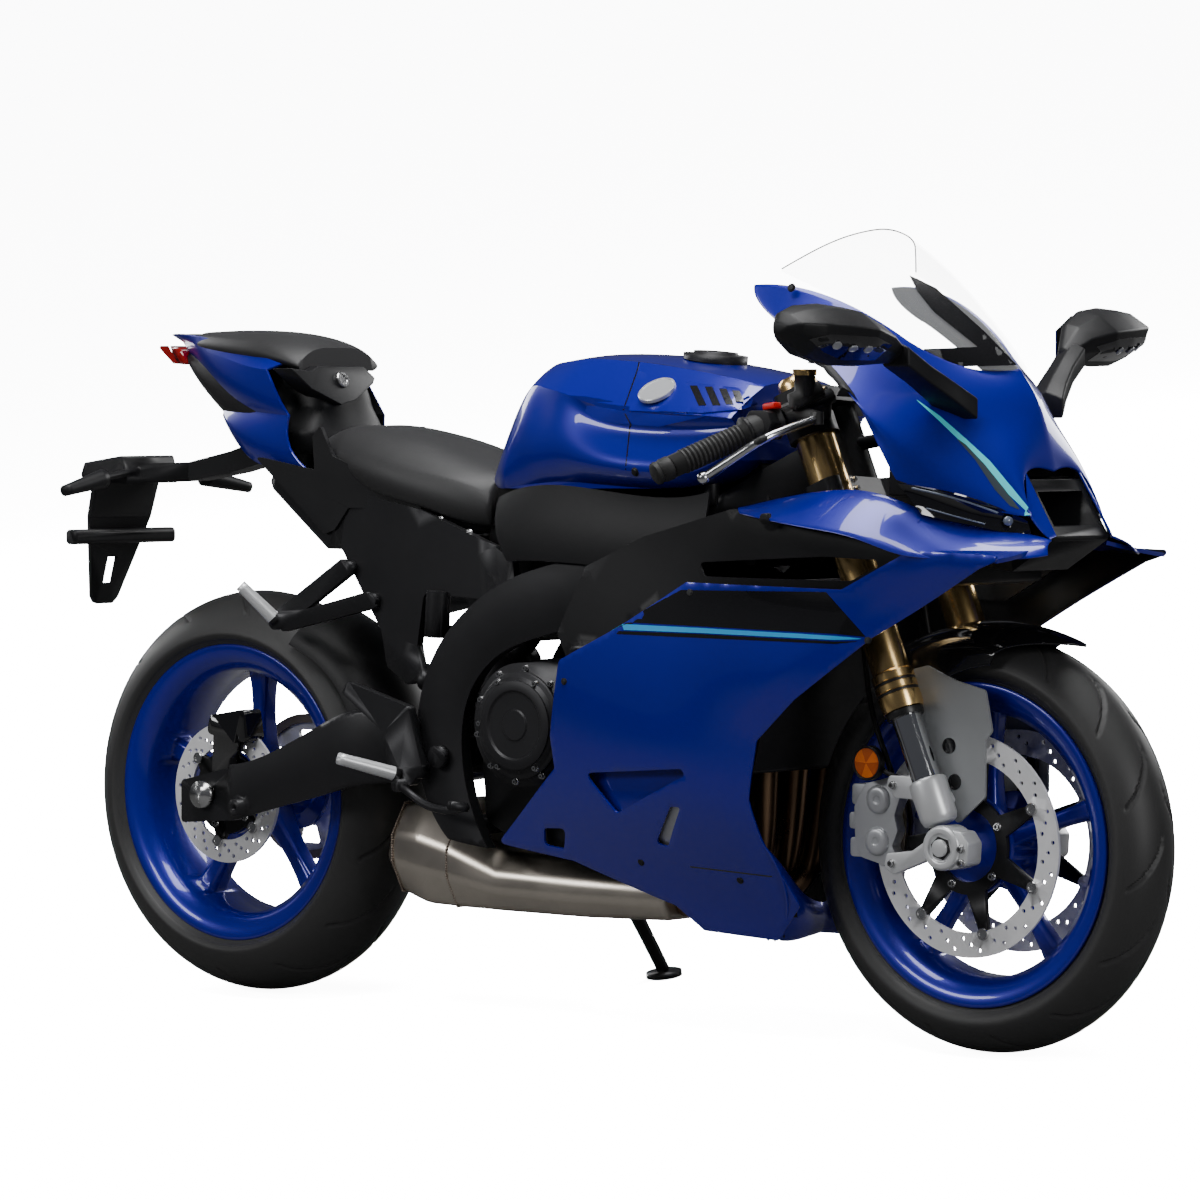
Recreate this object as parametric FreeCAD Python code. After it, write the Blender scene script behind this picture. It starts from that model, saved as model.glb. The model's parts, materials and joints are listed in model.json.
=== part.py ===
import FreeCAD, Part
import math
import os
from FreeCAD import Vector as V

# Sport bike, in millimetres. It is drawn upright: X forward from the middle of the wheelbase,
# Y to the rider's left, Z up from the road. At the end it is leaned onto its side stand.

# Wheels and tyres, 120/70-17 in front and 180/55-17 behind
WHEELBASE = 1420.0
LEAN = 10.0
FRONT_TYRE_R = 300.0
FRONT_TYRE_W = 120.0
REAR_TYRE_R = 315.0
REAR_TYRE_W = 182.0
FLANGE_R = 232.5
BEAD_R = 216.0
FRONT_BEAD_W = 89.0
REAR_BEAD_W = 140.0
FLANGE_T = 7.5
RIM_WALL = 5.0
SPOKES = 5
FRONT_AXLE_D = 25.0
REAR_AXLE_D = 28.0
AXLE_FIT = 0.05

# Brakes
FRONT_DISC_R = 160.0
FRONT_DISC_T = 4.5
FRONT_DISC_Y = 62.0
REAR_DISC_R = 110.0
REAR_DISC_T = 5.0
REAR_DISC_Y = 85.0
DISC_BAND = 36.0
DISC_HOLE_D = 6.5

# Chain drive
CHAIN_PITCH = 15.875
CHAIN_Y = 108.0
CHAIN_W = 20.0
ROLLER_D = 10.2
REAR_TEETH = 43
FRONT_TEETH = 16
SPROCKET_T = 7.0

# Steering and fork
RAKE = 22.6
LEG_OFFSET = 28.6
LEG_HALF = 107.0
LEG_OUTER_D = 58.0
LEG_INNER_D = 43.0
HEAD_D = 60.0
STEM_D = 30.0
BAR_D = 22.2
GRIP_D = 33.0

# Frame, swingarm, stand
PIVOT_X = -202.0
PIVOT_Z = 396.0
PIVOT_D = 20.0
FRAME_WALL = 24.0
ARM_WALL = 28.0

# Clearances
SEAT_GAP = 0.3
PANEL_T = 3.5
SCREEN_T = 3.0

RIGHT = -1
LEFT = 1
X = V(1, 0, 0)
Y = V(0, 1, 0)
Z = V(0, 0, 1)

lean = math.radians(LEAN)
front_crown = 0.52 * FRONT_TYRE_W
rear_crown = 0.52 * REAR_TYRE_W
FRONT_AXLE = V(WHEELBASE / 2, 0, FRONT_TYRE_R + front_crown * (1 / math.cos(lean) - 1))
REAR_AXLE = V(-WHEELBASE / 2, 0, REAR_TYRE_R + rear_crown * (1 / math.cos(lean) - 1))
PIVOT = V(PIVOT_X, 0, PIVOT_Z)

parts = {}


def keep(name, *shapes):
    """Store the solids of one node."""
    parts[name] = list(shapes)


def fuse(*shapes):
    """Join solids that overlap or touch into one."""
    whole = shapes[0]
    for piece in shapes[1:]:
        whole = whole.fuse(piece)
    return whole.removeSplitter() if len(shapes) > 1 else whole


def both(shape):
    """A piece and its mirror image on the other side."""
    return [shape, mirrored(shape)]


def mirrored(shape):
    return shape.mirror(V(0, 0, 0), Y)


def fractions(columns):
    """Parameters from the mean distance between neighbouring columns of points."""
    total = [0.0]
    for a, b in zip(columns, columns[1:]):
        step = sum(p.distanceToPoint(q) for p, q in zip(a, b)) / len(a)
        total.append(total[-1] + step)
    return [t / total[-1] for t in total]


def trimmed(shape, *tools):
    """The largest solid left of a shape where others are cut from it."""
    for tool in tools:
        shape = shape.cut(tool)
    return max(shape.Solids, key=lambda solid: solid.Volume)


def curve(points, params):
    line = Part.BSplineCurve()
    line.interpolate(Points=points, Parameters=params)
    return line


def surface(net, us, vs):
    """A smooth face through a grid of points: us runs over the rows, vs along each row."""
    rows = [curve(row, vs) for row in net]
    columns = [curve([row.getPole(j + 1) for row in rows], us) for j in range(rows[0].NbPoles)]
    first, across = columns[0], rows[0]
    poles = [[column.getPole(i + 1) for column in columns] for i in range(first.NbPoles)]
    face = Part.BSplineSurface()
    face.buildFromPolesMultsKnots(poles, first.getMultiplicities(), across.getMultiplicities(),
                                  first.getKnots(), across.getKnots(), False, False,
                                  first.Degree, across.Degree)
    return face.toShape()


def solid_of(faces):
    shell = Part.makeShell(faces)
    shell.sewShape()
    solid = Part.makeSolid(shell)
    return solid if solid.Volume > 0 else solid.reversed()


def panel(net, thick, creases=()):
    """A curved panel through rows of points, with its wall behind it. Rows in creases keep an edge."""
    net = [[V(*p) for p in row] for row in net]
    rows, cols = len(net), len(net[0])
    inner = []
    for i in range(rows):
        line = []
        for j in range(cols):
            along = net[i][min(j + 1, cols - 1)] - net[i][max(j - 1, 0)]
            across = net[min(i + 1, rows - 1)][j] - net[max(i - 1, 0)][j]
            line.append(net[i][j] - along.cross(across).normalize() * thick)
        inner.append(line)
    vs = fractions(list(zip(*net)))
    cuts = [0] + list(creases) + [rows - 1]
    faces = []
    for a, b in zip(cuts, cuts[1:]):
        us = fractions(net[a:b + 1])
        faces.append(surface(net[a:b + 1], us, vs))
        faces.append(surface(inner[a:b + 1], us, vs))
        for j in (0, -1):
            edge = [[layer[i][j] for i in range(a, b + 1)] for layer in (net, inner)]
            faces.append(surface(edge, [0.0, 1.0], us))
    for i in (0, -1):
        faces.append(surface([net[i], inner[i]], [0.0, 1.0], vs))
    return solid_of(faces)


def spline_edge(points):
    points = [V(*p) for p in points]
    if len(points) == 2:
        return Part.makeLine(*points)
    line = Part.BSplineCurve()
    line.interpolate(points)
    return line.toShape()


def stations(sections, smooth=True):
    """A closed body lofted through cross sections (x, edges). Each edge is a list of (y, z) on one side,
    from the bottom centre line round to the top centre line, and the other side mirrors it."""
    wires = []
    for x, edges in sections:
        first = [(x, -y, z) for y, z in reversed(edges[0][1:])] + [(x, y, z) for y, z in edges[0]]
        last = [(x, y, z) for y, z in edges[-1]] + [(x, -y, z) for y, z in reversed(edges[-1][:-1])]
        left = [[(x, y, z) for y, z in edge] for edge in edges[1:-1]]
        right = [[(x, -y, z) for y, z in reversed(edge)] for edge in reversed(edges[1:-1])]
        loop = [first] + left + [last] + right
        wires.append(Part.Wire([spline_edge(points) for points in loop]))
    return Part.makeLoft(wires, True, not smooth)


def rounded(points, radius):
    """A closed wire of straight runs in one plane, with its corners rounded by one radius."""
    edges = []
    count = len(points)
    starts = []
    for i in range(count):
        before, corner, after = points[i - 1], points[i], points[(i + 1) % count]
        back, ahead = before - corner, after - corner
        half = back.getAngle(ahead) / 2
        reach = min(radius / math.tan(half), 0.45 * back.Length, 0.45 * ahead.Length)
        r = reach * math.tan(half)
        p, q = corner + back.normalize() * reach, corner + ahead.normalize() * reach
        middle = (p + q) * 0.5 - corner
        centre = corner + middle.normalize() * (reach / math.cos(half))
        mid = centre - middle.normalize() * r
        starts.append((p, mid, q))
    for i in range(count):
        p, mid, q = starts[i]
        edges.append(Part.Arc(p, mid, q).toShape())
        edges.append(Part.makeLine(q, starts[(i + 1) % count][0]))
    return Part.Wire(edges)


def plate_xz(outline, y0, y1, radius=6.0):
    """A plate drawn in side view, from y0 to y1, with rounded corners."""
    wire = rounded([V(x, y0, z) for x, z in outline], radius)
    return Part.Face(wire).extrude(V(0, y1 - y0, 0))


def rod(a, b, diameter, end=None):
    """A round bar from a to b, tapering to another diameter if one is given."""
    a, b = V(*a), V(*b)
    if end is None:
        return Part.makeCylinder(diameter / 2, (b - a).Length, a, b - a)
    return Part.makeCone(diameter / 2, end / 2, (b - a).Length, a, b - a)


def tube_path(points):
    """Straight runs joined by tangent arcs, each as large as its two runs allow."""
    points = [V(*p) for p in points]
    edges = []
    here = points[0]
    for before, corner, after in zip(points, points[1:], points[2:]):
        back, ahead = before - corner, after - corner
        half = back.getAngle(ahead) / 2
        reach = 0.45 * min(back.Length, ahead.Length)
        p, q = corner + back.normalize() * reach, corner + ahead.normalize() * reach
        r = reach * math.tan(half)
        middle = ((p + q) * 0.5 - corner).normalize()
        mid = corner + middle * (reach / math.cos(half) - r)
        edges.append(Part.makeLine(here, p))
        edges.append(Part.Arc(p, mid, q).toShape())
        here = q
    edges.append(Part.makeLine(here, points[-1]))
    return Part.Wire(edges)


def pipe(points, diameter):
    """A round tube or hose along a route."""
    path = tube_path(points)
    start, ahead = V(*points[0]), V(*points[1]) - V(*points[0])
    ring = Part.Wire(Part.makeCircle(diameter / 2, start, ahead))
    return path.makePipeShell([ring], True, False)


def around(shape, count, centre, start=0.0):
    """Copies of a piece spread evenly round a wheel's axle."""
    copies = []
    for i in range(count):
        copy = shape.copy()
        copy.rotate(centre, Y, start + 360.0 * i / count)
        copies.append(copy)
    return copies


def revolved(profile, centre):
    """A ring about the axle from its (y, r) half section, drawn with straight lines."""
    points = [V(centre.x, y, centre.z + r) for y, r in profile]
    return Part.Face(Part.makePolygon(points + points[:1])).revolve(centre, Y, 360)


def disc_xz(centre, radius, y0, y1):
    return Part.makeCylinder(radius, y1 - y0, V(centre.x, y0, centre.z), Y)


def tyre(centre, radius, width, crown, bead_w):
    """A tyre with a round crown, open to the rim."""
    seat = bead_w / 2 - AXLE_FIT
    wall = 8.0
    outer = [(seat, BEAD_R + 1), (seat, FLANGE_R + 2)]
    shoulder = radius - crown + math.sqrt(crown ** 2 - (0.497 * width) ** 2)
    crown_side = (0.497 * width, shoulder)
    crown_mid = (crown * math.sin(0.55), radius - crown + crown * math.cos(0.55))

    def at(p, sign=1):
        return V(centre.x, sign * p[0], centre.z + p[1])

    def skin(bead_y, foot_r, bulge, side, mid, top):
        belly = Part.BSplineCurve()
        belly.interpolate([at((bead_y, foot_r)), at(bulge), at(side)])
        mirror_belly = Part.BSplineCurve()
        mirror_belly.interpolate([at(side, -1), at(bulge, -1), at((bead_y, foot_r), -1)])
        over = Part.BSplineCurve()
        over.interpolate([at(side), at(mid), at((0, top)), at(mid, -1), at(side, -1)])
        return [belly.toShape(), over.toShape(), mirror_belly.toShape()]

    bulge = (0.5 * (seat + crown_side[0]) + 3.0, 0.5 * (FLANGE_R + shoulder) - 2)
    outside = skin(seat, outer[1][1], bulge, crown_side, crown_mid, radius)
    inner_side = (crown_side[0] - wall, shoulder - 2)
    inner_mid = (crown_mid[0] * 0.9, crown_mid[1] - wall)
    inner_bulge = (bulge[0] - wall, bulge[1])
    inside = skin(seat - wall, outer[1][1] - 2, inner_bulge, inner_side, inner_mid, radius - wall)
    foot = []
    for sign in (1, -1):
        corners = [at((seat, outer[1][1]), sign), at(outer[0], sign), at((seat - wall, BEAD_R + 1), sign),
                   at((seat - wall, outer[1][1] - 2), sign)]
        foot += [Part.makeLine(a, b) for a, b in zip(corners, corners[1:])]
    wire = Part.Wire(Part.__sortEdges__(outside + inside + foot))
    return Part.Face(wire).revolve(centre, Y, 360)


def rim(centre, bead_w, spoke_root, spoke_tip, hub_r, hub_half, bore_d):
    """A cast wheel: barrel with flanges, hub, and spokes lofted between them."""
    half = bead_w / 2
    lip = half + FLANGE_T
    drop = BEAD_R - 16
    profile = [(half, BEAD_R), (half, FLANGE_R - 1), (half + 2, FLANGE_R), (lip - 1, FLANGE_R),
               (lip, FLANGE_R - 2), (lip, FLANGE_R - 7), (lip - 3, BEAD_R - RIM_WALL),
               (half - 16, drop - RIM_WALL - 4)]
    ring = ([(half, BEAD_R)] + profile[1:] + [(-y, r) for y, r in reversed(profile)] +
            [(-(half - 12), BEAD_R), (-(half - 20), drop), (half - 20, drop), (half - 12, BEAD_R)])
    barrel = revolved(ring, centre)
    hub = revolved([(-hub_half, bore_d / 2 + AXLE_FIT), (-hub_half, hub_r), (-hub_half + 8, hub_r),
                    (-hub_half + 16, hub_r * 0.66), (hub_half - 16, hub_r * 0.66),
                    (hub_half - 8, hub_r), (hub_half, hub_r), (hub_half, bore_d / 2 + AXLE_FIT)], centre)
    wires = []
    for r, (wide, deep) in ((hub_r * 0.5, spoke_root), ((hub_r + drop) / 2, spoke_tip),
                            (drop - RIM_WALL, (spoke_root[0], spoke_tip[1] * 1.3))):
        corners = [V(centre.x + a * wide / 2, b * deep / 2, centre.z + r)
                   for a, b in ((1, 1), (1, -1), (-1, -1), (-1, 1))]
        wires.append(rounded(corners, min(wide, deep) * 0.3))
    spoke = Part.makeLoft(wires, True, False)
    return fuse(barrel, hub, *around(spoke, SPOKES, centre))


def brake_disc(centre, side, radius, thick, face_y, band, carrier_r, bore_r, bobbins, y_in):
    """A drilled disc with its carrier, from the hub face out to the bobbins."""
    y0 = side * face_y - thick / 2
    ring = disc_xz(centre, radius, y0, y0 + thick).cut(disc_xz(centre, radius - band, y0, y0 + thick))
    hole = disc_xz(V(centre.x, 0, centre.z + radius - 0.28 * band), DISC_HOLE_D / 2, y0 - 1, y0 + thick + 1)
    holes = around(hole, 21, centre)
    for share, turn in ((0.52, 5.7), (0.76, 11.4)):
        at_r = disc_xz(V(centre.x, 0, centre.z + radius - share * band), DISC_HOLE_D / 2,
                       y0 - 1, y0 + thick + 1)
        holes += around(at_r, 21, centre, turn)
    ring = ring.cut(Part.makeCompound(holes))
    lo, hi = sorted((side * y_in, side * (face_y + thick / 2)))
    plate = disc_xz(centre, carrier_r, lo, hi).cut(disc_xz(centre, bore_r, lo - 1, hi + 1))
    reach = radius - band + 4
    arm = plate_xz([(centre.x - 17, centre.z + carrier_r - 8), (centre.x + 17, centre.z + carrier_r - 8),
                    (centre.x + 7, centre.z + reach), (centre.x - 7, centre.z + reach)], lo, hi, 3)
    knob = disc_xz(V(centre.x, 0, centre.z + reach), 8.5, lo - 1.5, hi + 1.5)
    pieces = around(fuse(arm, knob), bobbins, centre, 12.0)
    return fuse(ring, plate, *pieces)


# Front wheel: tyre, cast rim with five spokes, two drilled discs
FRONT_HUB_HALF = 57.0
keep("front_tyre", tyre(FRONT_AXLE, FRONT_TYRE_R, FRONT_TYRE_W, front_crown, FRONT_BEAD_W))
keep("front_rim", rim(FRONT_AXLE, FRONT_BEAD_W, (36, 40), (24, 26), 72, FRONT_HUB_HALF, FRONT_AXLE_D))
front_disc = brake_disc(FRONT_AXLE, RIGHT, FRONT_DISC_R, FRONT_DISC_T, FRONT_DISC_Y, DISC_BAND,
                        70, 52, 7, FRONT_HUB_HALF)
keep("front_discs", *both(front_disc))

# Rear wheel: tyre, rim, disc on the right, sprocket on the left
REAR_HUB_HALF = 80.0
keep("rear_tyre", tyre(REAR_AXLE, REAR_TYRE_R, REAR_TYRE_W, rear_crown, REAR_BEAD_W))
keep("rear_rim", rim(REAR_AXLE, REAR_BEAD_W, (42, 60), (28, 34), 66, REAR_HUB_HALF, REAR_AXLE_D))
keep("rear_disc", brake_disc(REAR_AXLE, RIGHT, REAR_DISC_R, REAR_DISC_T, REAR_DISC_Y, DISC_BAND,
                             64, 44, 6, REAR_HUB_HALF))
rear_pitch_r = CHAIN_PITCH / (2 * math.sin(math.pi / REAR_TEETH))
front_pitch_r = CHAIN_PITCH / (2 * math.sin(math.pi / FRONT_TEETH))


def sprocket(centre, teeth, pitch_r, y0, y1, bore_r):
    """A toothed wheel whose gullets leave room for the chain's rollers."""
    disc = disc_xz(centre, pitch_r + 3.5, y0, y1).cut(disc_xz(centre, bore_r, y0 - 1, y1 + 1))
    gap = disc_xz(V(centre.x, 0, centre.z + pitch_r), ROLLER_D / 2 + 0.8, y0 - 1, y1 + 1)
    return disc.cut(Part.makeCompound(around(gap, teeth, centre)))


sprocket_y0 = CHAIN_Y - SPROCKET_T / 2
sprocket_y1 = CHAIN_Y + SPROCKET_T / 2
rear_sprocket = sprocket(REAR_AXLE, REAR_TEETH, rear_pitch_r, sprocket_y0, sprocket_y1, 26)
windows = plate_xz([(REAR_AXLE.x - 15, REAR_AXLE.z + 62), (REAR_AXLE.x + 15, REAR_AXLE.z + 62),
                    (REAR_AXLE.x + 24, REAR_AXLE.z + 90), (REAR_AXLE.x - 24, REAR_AXLE.z + 90)],
                   sprocket_y0 - 1, sprocket_y1 + 1, 5)
rear_sprocket = rear_sprocket.cut(Part.makeCompound(around(windows, 6, REAR_AXLE)))
drive_hub = revolved([(REAR_HUB_HALF, 26), (REAR_HUB_HALF, 58), (sprocket_y0, 58), (sprocket_y1 - 2, 50),
                      (sprocket_y1 - 2, 26)], REAR_AXLE)
keep("rear_sprocket", fuse(rear_sprocket, drive_hub))

# Steering geometry: the steering axis leans back by the rake, the fork legs lie in front of it
rake = math.radians(RAKE)
steer_ground_x = FRONT_AXLE.x + FRONT_AXLE.z * math.tan(rake) - LEG_OFFSET / math.cos(rake)
steer_up = V(-math.sin(rake), 0, math.cos(rake))
steer_ahead = V(math.cos(rake), 0, math.sin(rake))


def steer_point(forward, y, along):
    return V(steer_ground_x, 0, 0) + steer_ahead * forward + Y * y + steer_up * along


def steer_rod(forward, y, s0, s1, d0, d1=None):
    return rod(steer_point(forward, y, s0), steer_point(forward, y, s1), d0, d1)


AXLE_S = (FRONT_AXLE - V(steer_ground_x, 0, 0)).dot(steer_up)
FOOT_TOP_S = 416.0
TUBE_LOW_S = 520.0
LOWER_CLAMP_S = 840.0
LOWER_CLAMP_T = 32.0
TOP_CLAMP_S = 992.0
TOP_CLAMP_T = 22.0
FORK_TOP_S = 1032.0

outer_legs, inner_legs, feet = [], [], []
for side in (RIGHT, LEFT):
    y = side * LEG_HALF
    tube = fuse(steer_rod(LEG_OFFSET, y, TUBE_LOW_S, TUBE_LOW_S + 58, LEG_OUTER_D + 4),
                steer_rod(LEG_OFFSET, y, TUBE_LOW_S + 58, LOWER_CLAMP_S, LEG_OUTER_D - 3, LEG_OUTER_D),
                steer_rod(LEG_OFFSET, y, LOWER_CLAMP_S, FORK_TOP_S - 12, LEG_OUTER_D),
                steer_rod(LEG_OFFSET, y, FORK_TOP_S - 12, FORK_TOP_S, LEG_OUTER_D - 8))
    outer_legs.append(tube)
    inner_legs.append(steer_rod(LEG_OFFSET, y, FOOT_TOP_S, TUBE_LOW_S, LEG_INNER_D))
    sleeve = steer_rod(LEG_OFFSET, y, AXLE_S + 20, FOOT_TOP_S, LEG_OUTER_D - 4, LEG_OUTER_D - 2)
    boss = disc_xz(FRONT_AXLE, 32, *sorted((side * 86, side * 128)))
    pinch = plate_xz([(FRONT_AXLE.x, FRONT_AXLE.z + 26), (FRONT_AXLE.x + 44, FRONT_AXLE.z + 18),
                      (FRONT_AXLE.x + 44, FRONT_AXLE.z - 20), (FRONT_AXLE.x, FRONT_AXLE.z - 30)],
                     *sorted((side * 90, side * 124)), 8)
    lugs = [plate_xz([(FRONT_AXLE.x - 20, FRONT_AXLE.z + a), (FRONT_AXLE.x - 20, FRONT_AXLE.z + a - 24),
                      (FRONT_AXLE.x - 108, FRONT_AXLE.z + b - 20), (FRONT_AXLE.x - 108, FRONT_AXLE.z + b)],
                     *sorted((side * 92, side * 104)), 5) for a, b in ((75, 98), (26, -16))]
    feet.append(fuse(sleeve, boss, pinch, *lugs))
keep("fork_outer_tubes", *outer_legs)
keep("fork_inner_tubes", *inner_legs)
spacer_half = FRONT_HUB_HALF + SEAT_GAP
axle = fuse(rod((FRONT_AXLE.x, -132, FRONT_AXLE.z), (FRONT_AXLE.x, 132, FRONT_AXLE.z), FRONT_AXLE_D),
            disc_xz(FRONT_AXLE, 17, -88, -spacer_half), disc_xz(FRONT_AXLE, 17, spacer_half, 88))
keep("fork_feet", fuse(axle, *feet))

# Triple clamps on the steering stem, which turns in the head tube
clamps = []
for s0, thick, reach in ((LOWER_CLAMP_S, LOWER_CLAMP_T, 36), (TOP_CLAMP_S, TOP_CLAMP_T, 33)):
    bridge = [steer_point(-reach, 30, s0), steer_point(-reach, -30, s0),
              steer_point(LEG_OFFSET - 30, -LEG_HALF - 30, s0), steer_point(LEG_OFFSET + 30, -LEG_HALF - 30, s0),
              steer_point(LEG_OFFSET + 12, 0, s0),
              steer_point(LEG_OFFSET + 30, LEG_HALF + 30, s0), steer_point(LEG_OFFSET - 30, LEG_HALF + 30, s0)]
    block = Part.Face(rounded(bridge, 16)).extrude(steer_up * thick)
    bores = [steer_rod(LEG_OFFSET, side * LEG_HALF, s0 - 1, s0 + thick + 1, LEG_OUTER_D) for side in (RIGHT, LEFT)]
    clamps.append(block.cut(Part.makeCompound(bores)))
stem = steer_rod(0, 0, LOWER_CLAMP_S, TOP_CLAMP_S + TOP_CLAMP_T + 10, STEM_D)
stem_nut = steer_rod(0, 0, TOP_CLAMP_S + TOP_CLAMP_T, TOP_CLAMP_S + TOP_CLAMP_T + 8, STEM_D + 14)
keep("triple_clamps", fuse(clamps[0], clamps[1], stem, stem_nut))

# Handlebars: a clip-on clamped to each leg under the top clamp, swept back and dropped
BAR_CLAMP_S = 955.0
BAR_CLAMP_T = 30.0
BAR_END = (372.0, 350.0, 829.0)
GRIP_START = (440.0, 225.0, 887.0)
BAR_ROOT = (501.0, 113.0, 939.0)
bars, controls = [], []
for side in (RIGHT, LEFT):
    end, start, root = [V(x, side * y, z) for x, y, z in (BAR_END, GRIP_START, BAR_ROOT)]
    along = (end - root).normalize()
    ring = steer_rod(LEG_OFFSET, side * LEG_HALF, BAR_CLAMP_S - BAR_CLAMP_T / 2, BAR_CLAMP_S + BAR_CLAMP_T / 2,
                     LEG_OUTER_D + 16)
    lug = rod(steer_point(LEG_OFFSET + 20, side * LEG_HALF, BAR_CLAMP_S), root + along * 14, 26, 30)
    tube = rod(root - along * 4, start, BAR_D)
    clamp = fuse(ring, lug, tube)
    bars.append(clamp.cut(steer_rod(LEG_OFFSET, side * LEG_HALF, 900, 1010, LEG_OUTER_D + 2 * AXLE_FIT)))
    grip = fuse(rod(start, end - along * 26, GRIP_D), rod(start, start + along * 6, GRIP_D + 12),
                rod(end - along * 26, end, GRIP_D - 4), rod(end - along * 24, end - along * 4, GRIP_D - 1))
    switch = rod(start - along * 52, start - along * 0.5, 40, 44)
    bar_room = rod(start - along * 100, start, BAR_D + 2 * AXLE_FIT)
    switch = switch.cut(bar_room)
    perch = rod(start - along * 84, start - along * 58, 34).cut(bar_room)
    mount = start - along * 71
    pivot = mount + V(48, 0, -6)
    arm = rod(mount + V(12, 0, 0), pivot, 24, 22)
    arm = arm.cut(bar_room)
    knee = pivot + V(-22, side * 100, -30)
    tip = pivot + V(-104, side * 128, -84)
    lever = fuse(rod(pivot, knee, 12, 10), Part.makeSphere(5, knee), rod(knee, tip, 10, 8),
                 Part.makeSphere(8, tip), rod(pivot + V(0, 0, -9), pivot + V(0, 0, 9), 20))
    controls += [grip, switch, fuse(perch, arm, lever)]
    if side == RIGHT:
        body = mount + V(26, 0, 25)
        controls[-1] = fuse(controls[-1], rod(body - along * 26, body + along * 22, 26),
                            rod(body, body + V(0, 0, 30), 30), rod(body + V(0, 0, 30), body + V(0, 0, 38), 33))
keep("clip_on_bars", *bars)
keep("bar_controls", *controls)

# Front fender over the tyre, with the grey side plates that fasten it to the fork legs
FENDER_GAP = 14.0
FENDER_END = 122.0
fender_net = []
for y, drop, start in ((-68, 36, 79), (-60, 24, 74), (-36, 8, 66), (0, 0, 60.5), (36, 8, 66), (60, 24, 74), (68, 36, 79)):
    line = []
    for share in (0, 0.18, 0.4, 0.6, 0.8, 1):
        turn = math.radians(start + (FENDER_END - start) * share)
        r = FRONT_TYRE_R + FENDER_GAP - drop + 12 * (1 - share) ** 3 * (1 - abs(y) / 80)
        line.append((FRONT_AXLE.x + r * math.cos(turn), y, FRONT_AXLE.z + r * math.sin(turn)))
    fender_net.append(line)
fender_wing = plate_xz([(750, 582), (752, 522), (606, 543), (612, 562), (650, 574), (690, 580), (720, 583)], -72, -67, 4)
keep("front_fender", fuse(panel(fender_net, -PANEL_T), fender_wing, mirrored(fender_wing)))
side_plate = plate_xz([(604, 545), (752, 524), (762, 466), (752, 452), (752, 372), (704, 332), (672, 368)],
                      -75.5, -72, 8)
windows = [disc_xz(V(x, 0, z), 11, -80, -70) for x, z in ((689, 443), (699, 392))]
keep("fender_side_plates", *both(side_plate.cut(Part.makeCompound(windows))))

# Front calipers behind the legs, on the lugs of the feet
caliper = plate_xz([(546, 386), (600, 400), (620, 372), (626, 284), (600, 264), (536, 276), (528, 330)],
                   -92, -38, 10)
slot = disc_xz(FRONT_AXLE, FRONT_DISC_R + 4, -FRONT_DISC_Y - FRONT_DISC_T / 2 - 1.5,
               -FRONT_DISC_Y + FRONT_DISC_T / 2 + 1.5)
caliper = caliper.cut(slot)
carrier_reach = FRONT_DISC_R - DISC_BAND + 16
caliper = caliper.cut(disc_xz(FRONT_AXLE, carrier_reach, -FRONT_DISC_Y - 7, -FRONT_HUB_HALF + 3))
keep("front_calipers", *both(caliper))
reflector = fuse(disc_xz(V(566, 0, 415), 22, -112, -104), disc_xz(V(566, 0, 415), 24, -104, -100),
                 rod((572, -102, 415), (642, -105, 386), 8))
keep("front_reflectors", *both(trimmed(reflector, feet[0])))

# Frame: head tube, a curved beam on each side down to the pivot plates, and the swingarm's pivot bolt
HEAD_LOW_S = LOWER_CLAMP_S + LOWER_CLAMP_T + SEAT_GAP
HEAD_TOP_S = TOP_CLAMP_S - SEAT_GAP
head = steer_rod(0, 0, HEAD_LOW_S, HEAD_TOP_S, HEAD_D)
FRAME_TOP = [(446, -22, 886), (380, -66, 850), (290, -118, 790), (180, -150, 742), (60, -157, 700), (-60, -158, 668),
             (-160, -156, 612), (-226, -153, 538), (-256, -151, 430), (-240, -150, 338), (-196, -148, 272)]
FRAME_LOW = [(456, -22, 838), (388, -66, 772), (290, -118, 694), (190, -150, 646), (80, -157, 604), (-20, -158, 578),
             (-100, -156, 545), (-150, -153, 490), (-166, -151, 410), (-152, -150, 332), (-118, -148, 262)]
frame_mid = [tuple((p + q) / 2 + lift for p, q, lift in zip(top, low, (0, -5, 0))) for top, low in zip(FRAME_TOP, FRAME_LOW)]
beam_right = panel([FRAME_TOP, frame_mid, FRAME_LOW], FRAME_WALL)
cross = rod((-186, -136, 470), (-186, 136, 470), 40)
SHOCK_TOP = V(-150, 0, 584)
shock_cross = disc_xz(SHOCK_TOP, 18, -140, 140)
low_cross = rod((-172, -132, 292), (-172, 132, 292), 30)
bolt_bore = disc_xz(PIVOT, PIVOT_D / 2 + AXLE_FIT, -170, 170)
frame = fuse(head, beam_right, mirrored(beam_right), cross, shock_cross, low_cross)
frame = frame.cut(steer_rod(0, 0, HEAD_LOW_S - 1, HEAD_TOP_S + 1, STEM_D + 2 * AXLE_FIT)).cut(bolt_bore)
TUBE_HALF = 112.0
plate_inside = 151 - FRAME_WALL
pivot_bolt = fuse(disc_xz(PIVOT, PIVOT_D / 2, -158, 158), disc_xz(PIVOT, 17, -168, -157), disc_xz(PIVOT, 17, 157, 168),
                  disc_xz(PIVOT, 16, -plate_inside + 1, -TUBE_HALF - SEAT_GAP),
                  disc_xz(PIVOT, 16, TUBE_HALF + SEAT_GAP, plate_inside - 1))
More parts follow.
